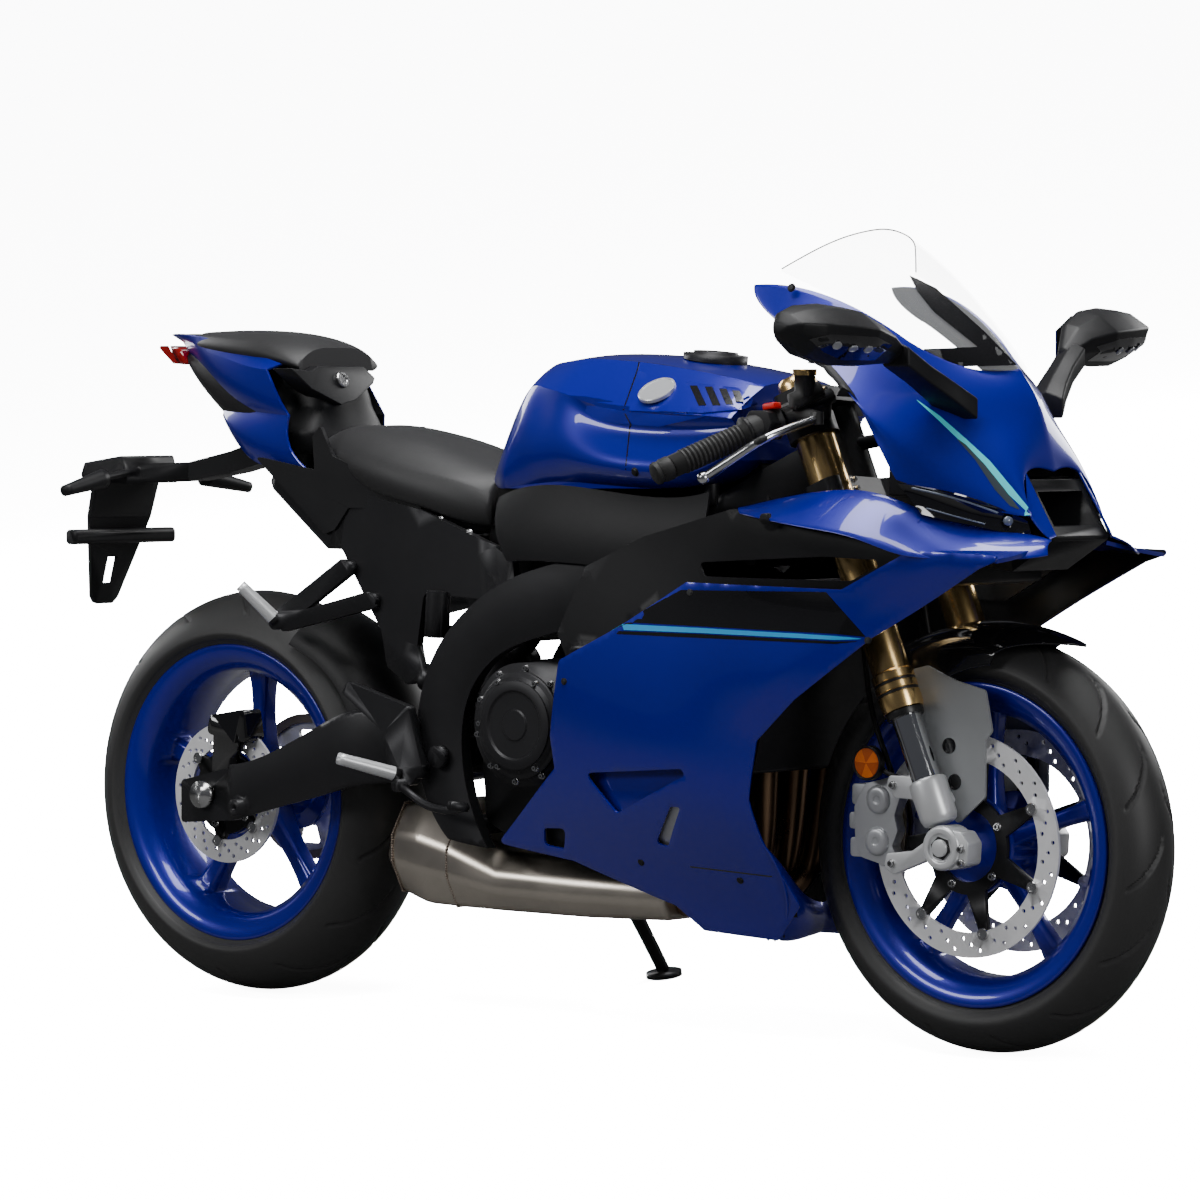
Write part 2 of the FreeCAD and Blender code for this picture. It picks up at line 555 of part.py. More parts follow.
# Side stand: it hangs on a pin in a bracket of the frame's left, and its leg folds back and up
STAND_PIVOT = V(-110, 118, 240)
STAND_FOOT = V(-92, 240, 0)
STAND_FOOT.z = STAND_FOOT.y * math.tan(lean)
STAND_PIN_D = 12.0
EYE_T = 16.0
hinge = V(-0.08, 1, 0.25).normalize()
pad = Part.makeCylinder(28, 8, STAND_FOOT, V(0, -math.sin(lean), math.cos(lean)))
eye = rod(STAND_PIVOT - hinge * EYE_T / 2, STAND_PIVOT + hinge * EYE_T / 2, 34)
ankle = STAND_FOOT + V(0, -2, 10)
down = (ankle - STAND_PIVOT).normalize()
leg = fuse(rod(STAND_PIVOT + down * 14, STAND_PIVOT + down * 44, 12, 24), rod(STAND_PIVOT + down * 44, ankle, 24, 20), eye, pad)
pin_room = rod(STAND_PIVOT - hinge * 40, STAND_PIVOT + hinge * 40, STAND_PIN_D + 2 * AXLE_FIT)
keep("side_stand", leg.cut(pin_room))
fork_ear = rod(STAND_PIVOT - hinge * (EYE_T / 2 + SEAT_GAP + 10), STAND_PIVOT - hinge * (EYE_T / 2 + SEAT_GAP), 40)
pin = rod(STAND_PIVOT - hinge * 16, STAND_PIVOT + hinge * (EYE_T / 2 + 8), STAND_PIN_D)
pin_head = rod(STAND_PIVOT + hinge * (EYE_T / 2 + SEAT_GAP), STAND_PIVOT + hinge * (EYE_T / 2 + 8), 20)
strut = pipe([STAND_PIVOT - hinge * (EYE_T / 2 + SEAT_GAP + 11.5), (-118, 84, 270), (-152, 132, 300)], 22)
stand_bracket = fuse(fork_ear, pin, pin_head, strut)

frame = fuse(frame, stand_bracket)

# Engine: crankcase, forward-leaning cylinders and head, with round covers on both sides
case = plate_xz([(-150, 300), (-165, 470), (-60, 545), (150, 560), (260, 470), (300, 330), (230, 268), (-80, 264)],
                -112, 112, 18)
cylinders = plate_xz([(60, 480), (40, 640), (150, 712), (330, 640), (330, 520), (240, 420)], -110, 110, 14)
clutch = V(-15, 0, 452)
clutch_cover = fuse(disc_xz(clutch, 92, -190, -110), disc_xz(clutch, 72, -203, -188))
generator = V(40, 0, 440)
generator_cover = fuse(disc_xz(generator, 76, 110, 150), disc_xz(generator, 52, 148, 160))
FRONT_SPROCKET = V(-118, 0, 404)
chain_room = plate_xz([(-200, 320), (-60, 320), (-60, 480), (-200, 480)], 88, 200, 6)
front_sprocket = sprocket(FRONT_SPROCKET, FRONT_TEETH, front_pitch_r, sprocket_y0, sprocket_y1, 10)
drive_shaft = disc_xz(FRONT_SPROCKET, 14, 80, sprocket_y1 + 6)
engine = fuse(case, cylinders, generator_cover).cut(chain_room)
mount_lugs = rod((100, -140, 656), (100, 140, 656), 34)
engine = trimmed(fuse(engine, clutch_cover, front_sprocket, drive_shaft, mount_lugs), frame)
keep("engine", engine)

# Radiator behind the front wheel
radiator = plate_xz([(372, 400), (402, 394), (470, 668), (440, 676)], -165, 165, 6)
keep("radiator", radiator)

# Exhaust: three header pipes into a box under the engine
headers = [pipe([(320, y, 552), (368, y, 522), (352, y, 400), (342, y * 0.9, 300), (296, y * 0.7, 206),
                 (205, y * 0.45, 196)], 38) for y in (-72, 0, 72)]
collector = rod((250, 0, 198), (150.3, 0, 198), 84, 70)
keep("exhaust_headers", trimmed(fuse(collector, *headers), engine))


def box_section(x, half, low, high, chamfer=0.35):
    """A muffler section: flat bottom and top with chamfered sides."""
    tall = high - low
    return (x, [[(0, low), (half * 0.75, low)], [(half * 0.75, low), (half, low + tall * chamfer)],
                [(half, low + tall * chamfer), (half, high - tall * chamfer)],
                [(half, high - tall * chamfer), (half * 0.7, high)], [(half * 0.7, high), (0, high)]])


muffler = stations([box_section(-374, 84, 206, 262), box_section(-352, 100, 180, 316), box_section(-300, 104, 164, 322),
                    box_section(-240, 102, 162, 300)], smooth=False)
muffler_mid = stations([box_section(-240, 102, 162, 300), box_section(-150, 96, 160, 252),
                        box_section(0, 84, 158, 243), box_section(150, 60, 160, 235)], smooth=False)
keep("muffler", fuse(muffler, muffler_mid))

# Fuel tank cover, with its shoulders as creases
def tank_section(x, low, low_half, side_half, crease_half, crease_z, top_half, top):
    mid = 0.5 * (low + crease_z)
    return (x, [[(0, low), (low_half, low)], [(low_half, low), (side_half, mid), (crease_half, crease_z)],
                [(crease_half, crease_z), (top_half, top - 0.12 * (top - crease_z)), (0, top)]])


tank = stations([tank_section(-150, 800, 84, 90, 84, 820, 50, 838),
                 tank_section(-110, 798, 116, 120, 102, 885, 60, 918),
                 tank_section(-60, 806, 128, 136, 112, 952, 64, 986),
                 tank_section(20, 812, 138, 154, 142, 944, 86, 1000),
                 tank_section(120, 806, 142, 168, 160, 921, 92, 999),
                 tank_section(220, 802, 146, 173, 167, 913, 96, 988),
                 tank_section(310, 816, 152, 173, 167, 912, 92, 972),
                 tank_section(356, 846, 150, 166, 160, 908, 80, 960)])
keep("fuel_tank", tank)
tank_pegs = [rod((288, side * 118, 780), (288, side * 118, 830), 22) for side in (RIGHT, LEFT)]
frame = trimmed(fuse(frame, *tank_pegs), tank)
keep("main_frame", frame, pivot_bolt)
cap_tilt = V(0.09, 0, 1).normalize()
cap_foot = V(200, 0, 985)
cap = fuse(rod(cap_foot, cap_foot + cap_tilt * 15, 96), rod(cap_foot, cap_foot + cap_tilt * 19, 66))
keep("filler_cap", cap.cut(tank))

# Black trims between the tank and the frame
trim_net = [[(-110, -126, 786), (0, -144, 806), (120, -150, 798), (230, -154, 790), (320, -160, 800)],
            [(-100, -146, 740), (0, -160, 750), (120, -166, 746), (230, -170, 742), (320, -174, 748)],
            [(-70, -154, 692), (20, -164, 694), (120, -169, 690), (210, -173, 690), (300, -178, 700)]]
trim = fuse(panel(trim_net, PANEL_T), rod((190, -140, 714), (190, -176, 714), 16), rod((250, -124, 722), (250, -180, 722), 16))
keep("tank_side_trims", *both(trimmed(trim, frame)))

# Seats
def seat_section(x, low, low_half, side_half, side_z, top):
    return (x, [[(0, low), (low_half, low)], [(low_half, low), (side_half, 0.5 * (low + side_z)), (side_half - 8, side_z)],
                [(side_half - 8, side_z), (side_half * 0.6, top - 4), (0, top)]])


rider_seat = stations([seat_section(-157, 742, 92, 100, 790, 826), seat_section(-210, 752, 112, 120, 812, 838),
                       seat_section(-280, 772, 124, 131, 826, 860), seat_section(-350, 788, 124, 132, 842, 877),
                       seat_section(-410, 804, 114, 124, 854, 888), seat_section(-460, 820, 100, 110, 862, 892),
                       seat_section(-500, 834, 88, 97, 866, 884)])
keep("rider_seat", rider_seat)
pillion_seat = stations([seat_section(-552, 976, 80, 92, 992, 1012), seat_section(-600, 984, 86, 98, 1012, 1028),
                         seat_section(-680, 992, 78, 90, 1024, 1039), seat_section(-760, 1000, 58, 70, 1030, 1040),
                         seat_section(-822, 1010, 34, 42, 1030, 1038)])
keep("pillion_seat", pillion_seat)

# Tail: painted side panels, and the black underside that reaches down to the plate holder
tail_net = [[(-905, -14, 1036), (-854, -50, 1034), (-772, -78, 1016), (-696, -94, 1000), (-618, -104, 986), (-569, -106, 986)],
            [(-911, -11, 1029), (-849, -58, 1004), (-774, -86, 976), (-698, -102, 950), (-619, -112, 925), (-536, -114, 901)],
            [(-914, -9, 1022), (-833, -50, 974), (-749, -82, 928), (-698, -88, 862), (-596, -102, 828), (-486, -116, 809)]]
tail_right = panel(tail_net, -PANEL_T, creases=(1,))
bridge = plate_xz([(-908, 1022), (-900, 1034), (-846, 1032), (-840, 1020)], -40, 40, 3)
tail_cowl = fuse(tail_right, mirrored(tail_right), bridge)
keep("tail_cowl", tail_cowl)
tail_body = stations([seat_section(-484, 846, 40, 48, 862, 874), seat_section(-522, 846, 58, 72, 900, 918),
                      seat_section(-550, 848, 80, 92, 944, 980), seat_section(-600, 852, 86, 96, 958, 992),
                      seat_section(-680, 880, 76, 86, 972, 1000), seat_section(-780, 938, 50, 60, 990, 1004),
                      seat_section(-850, 990, 24, 30, 1006, 1012)])

# Tail lamp under the tip, and the black plate holder with its two indicators and reflector bar
lamp_block = plate_xz([(-905, 1018), (-850, 1010), (-838, 986), (-868, 988)], -40, 40, 3)
plate_arm = plate_xz([(-640, 886), (-588, 872), (-588, 815.3), (-612, 815.3), (-640, 840), (-700, 830), (-760, 816), (-850, 802),
                      (-970, 797), (-970, 828), (-850, 832), (-760, 850)], -24, 24, 6)
plate_head = plate_xz([(-962, 842), (-1048, 830), (-1058, 806), (-1000, 798), (-950, 797)], -58, 58, 6)
PLATE_TOP, PLATE_FOOT = V(-1012, 0, 812), V(-1069, 0, 604)
blade_down = (PLATE_FOOT - PLATE_TOP).normalize()
blade_corners = [PLATE_TOP + blade_down * s + Y * y for s, y in ((0, -74), (0, 74), (70, 70), (205, 30), (216, 20),
                                                                (216, -20), (205, -30), (70, -70))]
plate_blade = Part.Face(rounded(blade_corners, 8)).extrude(V(-blade_down.z, 0, blade_down.x).normalize() * 7)
plate_slot = plate_xz([(-1090, 636), (-1000, 636), (-1000, 678), (-1090, 678)], -11, 11, 3)
crossbar = plate_xz([(-1036, 724), (-1010, 724), (-1010, 700), (-1036, 700)], -112, 112, 8)
indicators = []
for side in (RIGHT, LEFT):
    stalk = rod((-962, side * 20, 818), (-950, side * 120, 806), 14, 10)
    lamp = rod((-950, side * 116, 806), (-940, side * 212, 788), 30, 18)
    indicators.append(fuse(stalk, lamp))
keep("plate_holder", fuse(plate_arm, plate_head, plate_blade, crossbar, *indicators).cut(plate_slot))

# Subframe: a cast side plate on each side under the seats, joined by tubes
CAST_T = 14.0
cast_x = (-660, -470, -300, -50)
cast_y = (-80, -100, -112, -114)
cast_skin = panel([[(x, y, z) for x, y in zip(cast_x, cast_y)] for z in (480, 850)], -CAST_T)
CASTING = [(-622, 812), (-474, 804), (-268, 766), (-120, 714), (-84, 692), (-78, 650), (-112, 632), (-262, 640), (-276, 560),
           (-262, 508), (-296, 500), (-340, 526), (-352, 580), (-410, 662), (-438, 703), (-470, 703)]
casting = cast_skin.common(plate_xz(CASTING, -200, -40, 10))
front_boss = rod((-98, -104, 634), (-98, -142, 634), 34)
low_boss = rod((-276, -104, 520), (-246, -142, 505), 26)
casting = fuse(casting, front_boss, low_boss)
ties = [rod((x, -y, z), (x, y, z), 20) for x, y, z in ((-250, 117, 722), (-430, 108, 760), (-600, 91, 805))]
subframe = trimmed(fuse(casting, mirrored(casting), *ties), frame, rider_seat)
keep("subframe", subframe)
tail_lamp = trimmed(lamp_block, tail_cowl)
tail_lower = trimmed(tail_body, tail_lamp, subframe, plate_arm, tail_cowl, pillion_seat, rider_seat)
keep("tail_lower", tail_lower)
keep("tail_lamp", tail_lamp)

# Side fairings: one curved panel a side, cut to its outline in side view, with its vents
FAIR_X = (-95, 60, 200, 330, 440, 560, 690, 868)
FAIRING = ((150, (118, 124, 122, 112, 100, 92, 84, 78)), (250, (152, 160, 165, 160, 150, 140, 130, 120)),
           (350, (170, 196, 208, 208, 196, 184, 170, 160)), (450, (182, 214, 226, 226, 212, 198, 184, 176)),
           (550, (190, 222, 231, 232, 226, 208, 196, 190)), (650, (198, 220, 227, 230, 228, 212, 198, 197)),
           (722, (200, 216, 222, 230, 236, 224, 209, 205)), (800, (200, 214, 222, 232, 232, 208, 166, 120)))
fairing_skin = panel([[(x, -y, z) for x, y in zip(FAIR_X, ys)] for z, ys in FAIRING], -PANEL_T)
OUTLINE = [(-86, 272), (65, 253), (240, 195), (279, 159), (404, 150), (456, 204), (428, 300), (422, 360), (444, 446),
           (512, 507), (641, 598), (832, 700), (864, 711), (864, 719), (717, 722), (713, 768), (672, 790), (634, 796), (440, 794), (428, 772),
           (560, 752), (668, 738), (700, 714), (598, 666), (334, 672), (207, 604), (90, 552), (63, 440), (66, 392)]
VENTS = [[(128, 388), (318, 402), (322, 392), (180, 330)], [(20, 300), (66, 302), (52, 270), (12, 274)],
         [(286, 345), (306, 346), (262, 285), (240, 288)]]
fairing = fairing_skin.common(plate_xz(OUTLINE, -300, -40, 8))
for vent in VENTS:
    fairing = fairing.cut(plate_xz(vent, -300, -40, 5))
keep("side_fairing_right", fairing)
keep("side_fairing_left", mirrored(fairing))

# Black inner panels, set behind the painted ones, with the air opening
INNER = [(90, 548), (66, 590), (120, 690), (230, 735), (406, 778), (560, 760), (668, 745), (700, 716), (690, 690),
         (598, 640), (334, 640), (210, 580)]
inner_net = [[(x, -(y - 22), z) for x, y in zip(FAIR_X, ys)] for z, ys in FAIRING[3:]]
inner = panel(inner_net, -PANEL_T).common(plate_xz(INNER, -300, -40, 8))
spacers = [rod((x, -y, z), (x, -y - 34, z), 16) for x, y, z in ((240, 202, 612), (480, 205, 765), (120, 196, 566))]
inner = trimmed(fuse(inner, *spacers), fairing)
intake = plate_xz([(340, 700), (560, 712), (668, 708), (600, 678), (350, 680)], -300, -40, 6)
keep("inner_panels", *both(trimmed(inner, intake)))

# Upper cowl: the hood and sides as one shell with creases, open to the screen and the mouth
cowl_right = [[(754, 0, 979), (772, 0, 955), (789, 0, 925), (803, 0, 880), (815, 0, 833)],
              [(711, -62, 979), (745, -63, 945), (770, -64, 905), (795, -65, 868), (813, -65, 831)],
              [(640, -114, 1019), (676, -126, 952), (728, -114, 896), (780, -102, 842), (838, -86, 772)],
              [(545, -142, 1074), (590, -166, 985), (650, -172, 910), (716, -156, 850), (800, -116, 778)],
              [(404, -165, 1099), (448, -176, 1050), (561, -184, 979), (628, -186, 895), (672, -182, 822)]]
cowl_half = panel(cowl_right, -PANEL_T, creases=(2,))
fang = panel([[(811, -64.5, 835), (842, -67, 786), (868, -68, 744)], [(833, -88, 780), (846, -84, 757), (862, -76, 739)]],
             -PANEL_T)
cowl = fuse(cowl_half, mirrored(cowl_half))
fang = trimmed(fang, cowl)
keep("upper_cowl", cowl, *both(fang))

# Nose air mouth between the fangs, with the chin under it
mouth = plate_xz([(700, 800), (700, 738), (712, 702), (790, 692), (860, 736), (862, 742), (813, 822), (780, 822)], -67, 67, 3)
mouth_room = plate_xz([(722, 756), (900, 756), (900, 812), (722, 796)], -54, 54, 3)
keep("nose_intake", trimmed(mouth.cut(mouth_room), cowl, fang, mirrored(fang)))

# Position lamp strips under the cowl, and the winglets on the nose
lamp = panel([[(676, -178, 818), (740, -146, 790), (800, -108, 774)], [(700, -164, 786), (752, -136, 766), (826, -84, 748)]],
             -12)
keep("headlamps", *both(lamp))
winglet = [[(714, -208, 721), (764, -208, 719), (814, -207, 717), (864, -205, 714)],
           [(712, -195, 745), (762, -168, 738), (814, -152, 729), (864, -140, 722)],
           [(710, -178, 768), (748, -133, 756), (798, -102, 742), (852, -77, 734)]]
keep("winglets", *both(trimmed(panel(winglet, 6), fairing, cowl, fang)))

# Windscreen
screen_half = [[(714, 62, 977), (665, 92, 1000), (624, 112, 1031), (550, 140, 1074), (450, 160, 1119)],
               [(745, 32, 977), (700, 55, 1012), (650, 72, 1052), (590, 84, 1101), (500, 90, 1163)],
               [(757, 0, 977), (715, 0, 1023), (660, 0, 1076), (590, 0, 1133), (514, 0, 1179)]]
screen_net = screen_half + [[(x, -y, z) for x, y, z in row] for row in reversed(screen_half[:-1])]
keep("windscreen", trimmed(panel(screen_net, SCREEN_T), cowl))

# Instrument panel inside the cowl
dash = plate_xz([(580, 985), (598, 992), (640, 900), (622, 892)], -68, 68, 5)
keep("dash", dash)

# Mirrors: a stalk from the cowl and a rounded housing
mirror_parts = []
stalk = pipe([(714, -116, 940), (706, -150, 962), (700, -190, 985), (684, -232, 1004)], 24)
foot = rod((720, -100, 930), (708, -126, 948), 44, 30)


def ring_at(centre, wide, tall, turn):
    ring = Part.Ellipse(V(0, 0, 0), max(wide, tall), min(wide, tall)).toShape()
    if wide < tall:
        ring.rotate(V(0, 0, 0), Z, 90)
    ring.rotate(V(0, 0, 0), X, 90)
    ring.rotate(V(0, 0, 0), Z, turn)
    ring.translate(V(*centre))
    return Part.Wire(ring)


housing = Part.makeLoft([ring_at((688, -210, 996), 24, 15, 14), ring_at((676, -250, 1014), 36, 31, 12),
                         ring_at((662, -300, 1024), 42, 42, 8), ring_at((652, -350, 1028), 42, 43, 4),
                         ring_at((648, -400, 1031), 36, 34, 0), ring_at((648, -440, 1033), 18, 15, -4)], True, False)
glass_cut = Part.makeBox(120, 400, 300, V(-120, -200, -150))
glass_cut.Placement = FreeCAD.Placement(V(638, -330, 1020), FreeCAD.Rotation(Z, 8))
housing = trimmed(housing, glass_cut)
keep("mirrors", *both(trimmed(fuse(foot, stalk, housing), cowl)))

# Swingarm: two arms, a cross member in front of the tyre, a pivot tube, and the axle plates
ARM_Y = 128.0
ARM_TOP = [(REAR_AXLE.x + 60, 144, REAR_AXLE.z + 49), (-560, 146, 388), (-452, 148, 436), (-376, 144, 460), (-322, 126, 452),
           (-276, 108, 436), (PIVOT.x - 10, 105, PIVOT.z + 28)]
ARM_LOW = [(REAR_AXLE.x + 60, 144, REAR_AXLE.z - 39), (-560, 146, 300), (-452, 148, 327), (-376, 144, 345), (-322, 126, 350),
           (-276, 108, 352), (PIVOT.x - 10, 105, PIVOT.z - 28)]
LEFT_TOP = [(REAR_AXLE.x + 60, 148, REAR_AXLE.z + 40), (-560, 152, 372), (-452, 154, 398), (-376, 150, 412), (-322, 130, 416),
            (-276, 108, 416), (PIVOT.x - 10, 105, PIVOT.z + 24)]
LEFT_LOW = [(REAR_AXLE.x + 60, 148, REAR_AXLE.z - 39), (-560, 152, 300), (-452, 154, 327), (-376, 150, 340), (-322, 130, 344),
            (-276, 108, 350), (PIVOT.x - 10, 105, PIVOT.z - 26)]


def swing_arm(top, low):
    """One arm, drawn for the right: its outer face bulges a little, its wall lies inwards."""
    middle = [((a + d) / 2, (b + e) / 2 + 5, (c + f) / 2) for (a, b, c), (d, e, f) in zip(top, low)]
    return panel([[(x, -y, z) for x, y, z in row] for row in (top, middle, low)], -ARM_WALL)


arm = swing_arm(ARM_TOP, ARM_LOW)
arm_left = mirrored(swing_arm(LEFT_TOP, LEFT_LOW))
end = plate_xz([(REAR_AXLE.x + 64, REAR_AXLE.z + 46), (REAR_AXLE.x - 50, REAR_AXLE.z + 20), (REAR_AXLE.x - 50, REAR_AXLE.z - 46),
                (REAR_AXLE.x + 64, REAR_AXLE.z - 38)], -ARM_Y - 9, -ARM_Y + 9, 6)
axle_slot = plate_xz([(REAR_AXLE.x - 22, REAR_AXLE.z + 14.05), (REAR_AXLE.x + 22, REAR_AXLE.z + 14.05),
                      (REAR_AXLE.x + 22, REAR_AXLE.z - 14.05), (REAR_AXLE.x - 22, REAR_AXLE.z - 14.05)],
                     -ARM_Y - 20, ARM_Y + 20, 14)
pivot_tube = disc_xz(PIVOT, 28, -TUBE_HALF, TUBE_HALF)
tie = plate_xz([(-340, 360), (-340, 414), (-296, 420), (-290, 360)], -116, 116, 12)
swing = fuse(arm, end, arm_left, mirrored(end), tie, pivot_tube).cut(axle_slot)
swing = swing.cut(disc_xz(PIVOT, PIVOT_D / 2 + AXLE_FIT, -200, 200))

# Threaded holes for the spools of a rear stand, one in a boss on each arm
SPOOL_AT = V(REAR_AXLE.x + 84, 0, REAR_AXLE.z - 16)
SPOOL_HOLE_D = 8.0
SPOOL_DEPTH = 20.0
SPOOL_Y = 160.0
for side in (RIGHT, LEFT):
    boss = disc_xz(SPOOL_AT, 13, *sorted((side * SPOOL_Y, side * (SPOOL_Y - 26))))
    hole = disc_xz(SPOOL_AT, SPOOL_HOLE_D / 2, *sorted((side * (SPOOL_Y + 1), side * (SPOOL_Y - SPOOL_DEPTH))))
    swing = swing.fuse(boss).cut(hole)
keep("swingarm", swing)

# Rear axle with its blocks and nuts
axle_half = ARM_Y + 9
rear_axle = [disc_xz(REAR_AXLE, REAR_AXLE_D / 2, -axle_half - 16, axle_half + 14),
             disc_xz(REAR_AXLE, 21, -axle_half - 12, -axle_half - SEAT_GAP),
             disc_xz(REAR_AXLE, 21, axle_half + SEAT_GAP, axle_half + 10),
             disc_xz(REAR_AXLE, 20, -ARM_Y + 9 + SEAT_GAP, -REAR_HUB_HALF - SEAT_GAP),
             disc_xz(REAR_AXLE, 20, sprocket_y1 + SEAT_GAP, ARM_Y - 9 - SEAT_GAP)]
keep("rear_axle", fuse(*rear_axle))

# Rear caliper above the arm's end, on a bracket round the axle
bracket = plate_xz([(REAR_AXLE.x - 16, REAR_AXLE.z + 24), (REAR_AXLE.x - 10, REAR_AXLE.z + 122),
                    (REAR_AXLE.x + 60, REAR_AXLE.z + 132), (REAR_AXLE.x + 30, REAR_AXLE.z + 20)], -104, -96, 8)
rear_caliper = plate_xz([(REAR_AXLE.x - 18, REAR_AXLE.z + 94), (REAR_AXLE.x - 12, REAR_AXLE.z + 122),
                         (REAR_AXLE.x + 62, REAR_AXLE.z + 134), (REAR_AXLE.x + 70, REAR_AXLE.z + 84),
                         (REAR_AXLE.x + 40, REAR_AXLE.z + 80)], -112, -75, 8)
slot = disc_xz(REAR_AXLE, REAR_DISC_R + 4, -REAR_DISC_Y - REAR_DISC_T / 2 - 1.5, -REAR_DISC_Y + REAR_DISC_T / 2 + 1.5)
slot = slot.fuse(disc_xz(REAR_AXLE, REAR_DISC_R - DISC_BAND + 18, -93, -70))
eye = disc_xz(REAR_AXLE, 30, -104, -96)
bore = disc_xz(REAR_AXLE, 20 + AXLE_FIT, -120, -90)
keep("rear_caliper", fuse(rear_caliper.cut(slot), bracket, eye).cut(bore))

# Hugger over the rear tyre
hugger_net = []
for y, drop in ((-88, 62), (-70, 26), (-36, 6), (0, 0), (36, 6), (70, 26), (88, 62)):
    line = []
    for turn, r in ((60, 333), (48, 344), (36, 352), (24, 350), (13, 344)):
        angle = math.radians(turn)
        line.append((REAR_AXLE.x + (r - drop) * math.cos(angle), y, REAR_AXLE.z + (r - drop) * math.sin(angle)))
    hugger_net.append(line)
hugger_tabs = [rod((-448, -87, 434), (-448, -138, 424), 12), rod((-440, 87, 412), (-436, 150, 386), 12)]
keep("hugger", trimmed(fuse(panel(hugger_net, -PANEL_T), *hugger_tabs), swing))

# Shock absorber between the frame and the swingarm, with its reservoir
spring_low = V(-318, 0, 405)
shock_axis = (SHOCK_TOP - spring_low).normalize()
shock = [rod(spring_low, SHOCK_TOP, 36), rod(spring_low + shock_axis * 46, spring_low + shock_axis * 54, 74),
         rod(SHOCK_TOP - shock_axis * 50, SHOCK_TOP - shock_axis * 42, 74),
         rod(spring_low + shock_axis * 46, SHOCK_TOP - shock_axis * 42, 62)]
reservoir = rod((-234, -130, 574), (-230, -130, 644), 38)
hose = rod((-190, 0, 556), (-234, -122, 590), 12)
keep("rear_shock", trimmed(fuse(*shock, reservoir, hose), frame, swing, subframe))

# Chain: one closed loop round the two sprockets
span = FRONT_SPROCKET - REAR_AXLE
tilt = math.atan2(span.z, span.x)
wrap = math.acos((rear_pitch_r - front_pitch_r) / math.hypot(span.x, span.z))


def chain_loop(grow):
    """The closed line round both sprockets, moved outwards by grow."""
    rear_r, front_r = rear_pitch_r + grow, front_pitch_r + grow

    def on(centre, r, turn):
        return V(centre.x + r * math.cos(turn), 0, centre.z + r * math.sin(turn))

    top_rear, top_front = on(REAR_AXLE, rear_r, tilt + wrap), on(FRONT_SPROCKET, front_r, tilt + wrap)
    low_rear, low_front = on(REAR_AXLE, rear_r, tilt - wrap), on(FRONT_SPROCKET, front_r, tilt - wrap)
    return Part.Wire([Part.makeLine(top_rear, top_front),
                      Part.Arc(top_front, on(FRONT_SPROCKET, front_r, tilt), low_front).toShape(),
                      Part.makeLine(low_front, low_rear),
                      Part.Arc(low_rear, on(REAR_AXLE, rear_r, tilt + math.pi), top_rear).toShape()])


def chain_band(out, inside, y0, y1):
    face = Part.Face(chain_loop(out)).cut(Part.Face(chain_loop(inside)))
    face.translate(V(0, y0, 0))
    return face.extrude(V(0, y1 - y0, 0))


plates = [chain_band(7.0, -7.0, CHAIN_Y + side * CHAIN_W / 2 - 3 if side > 0 else CHAIN_Y - CHAIN_W / 2,
                     CHAIN_Y + CHAIN_W / 2 if side > 0 else CHAIN_Y - CHAIN_W / 2 + 3) for side in (-1, 1)]
rollers = chain_band(ROLLER_D / 2, ROLLER_D / 2 - 1.0, CHAIN_Y - CHAIN_W / 2 + 2, CHAIN_Y + CHAIN_W / 2 - 2)
keep("chain", fuse(*plates, rollers))

# Foot controls on each side: hanger, peg, and brake pedal or shift lever
foot_parts = {RIGHT: [], LEFT: []}
hanger = fuse(plate_xz([(-246, 350), (-222, 380), (-250, 470), (-372, 504), (-386, 488), (-300, 430), (-290, 372)], -178, -162, 6),
              disc_xz(V(-240, 0, 376), 15, -178, -150), disc_xz(V(-256, 0, 440), 12, -178, -150))
peg = rod((-268, -178, 367), (-315, -262, 394), 22, 18)
pedal = [pipe([(-262, -184, 352), (-200, -190, 322), (-150, -196, 318), (-112, -206, 326)], 12), rod((-118, -196, 325), (-118, -232, 330), 14),
         rod((-262, -172, 352), (-262, -192, 352), 20)]
passenger = fuse(plate_xz([(-424, 690), (-404, 668), (-546, 580), (-572, 592), (-560, 606)], -134, -122, 5),
                 plate_xz([(-372, 640), (-352, 616), (-548, 574), (-560, 596)], -134, -122, 5),
                 rod((-558, -134, 590), (-600, -172, 646), 22, 18), rod((-558, -122, 590), (-558, -140, 590), 26),
                 rod((-414, -100, 676), (-414, -134, 676), 20), rod((-364, -100, 628), (-364, -134, 628), 20))
passenger = trimmed(passenger, subframe)
right_foot = trimmed(fuse(hanger, peg, *pedal), frame)
keep("foot_controls_right", right_foot, passenger)
keep("foot_controls_left", mirrored(right_foot), mirrored(passenger))

# Brake hoses from the lower clamp to the calipers
hose_right = pipe([(506, -60, 770), (520, -72, 700), (534, -79, 600), (552, -84, 490), (592, -84, 398.9)], 8)
keep("brake_hoses", *both(hose_right))

# Stays: from the head tube to the cowl and dash, and from the engine to the fairings and the radiator
nose_stay = fuse(pipe([steer_point(24, 0, 932), (560, 0, 884), (620, 0, 884), (664, 0, 900)], 20),
                 rod((664, -176, 900), (664, 176, 900), 14), rod((640, 0, 890), (622, 0, 938), 14))
keep("nose_stay", trimmed(nose_stay, frame, cowl, dash))
side_stays = [rod((150, -100, 600), (150, -236, 590), 14), rod((120, -100, 300), (120, -200, 300), 14),
                  rod((250, -96, 590), (440, -150, 610), 14)]
stays = [trimmed(stay, engine, fairing, radiator, inner) for stay in side_stays]
keep("side_stays", *stays, *[mirrored(stay) for stay in stays])

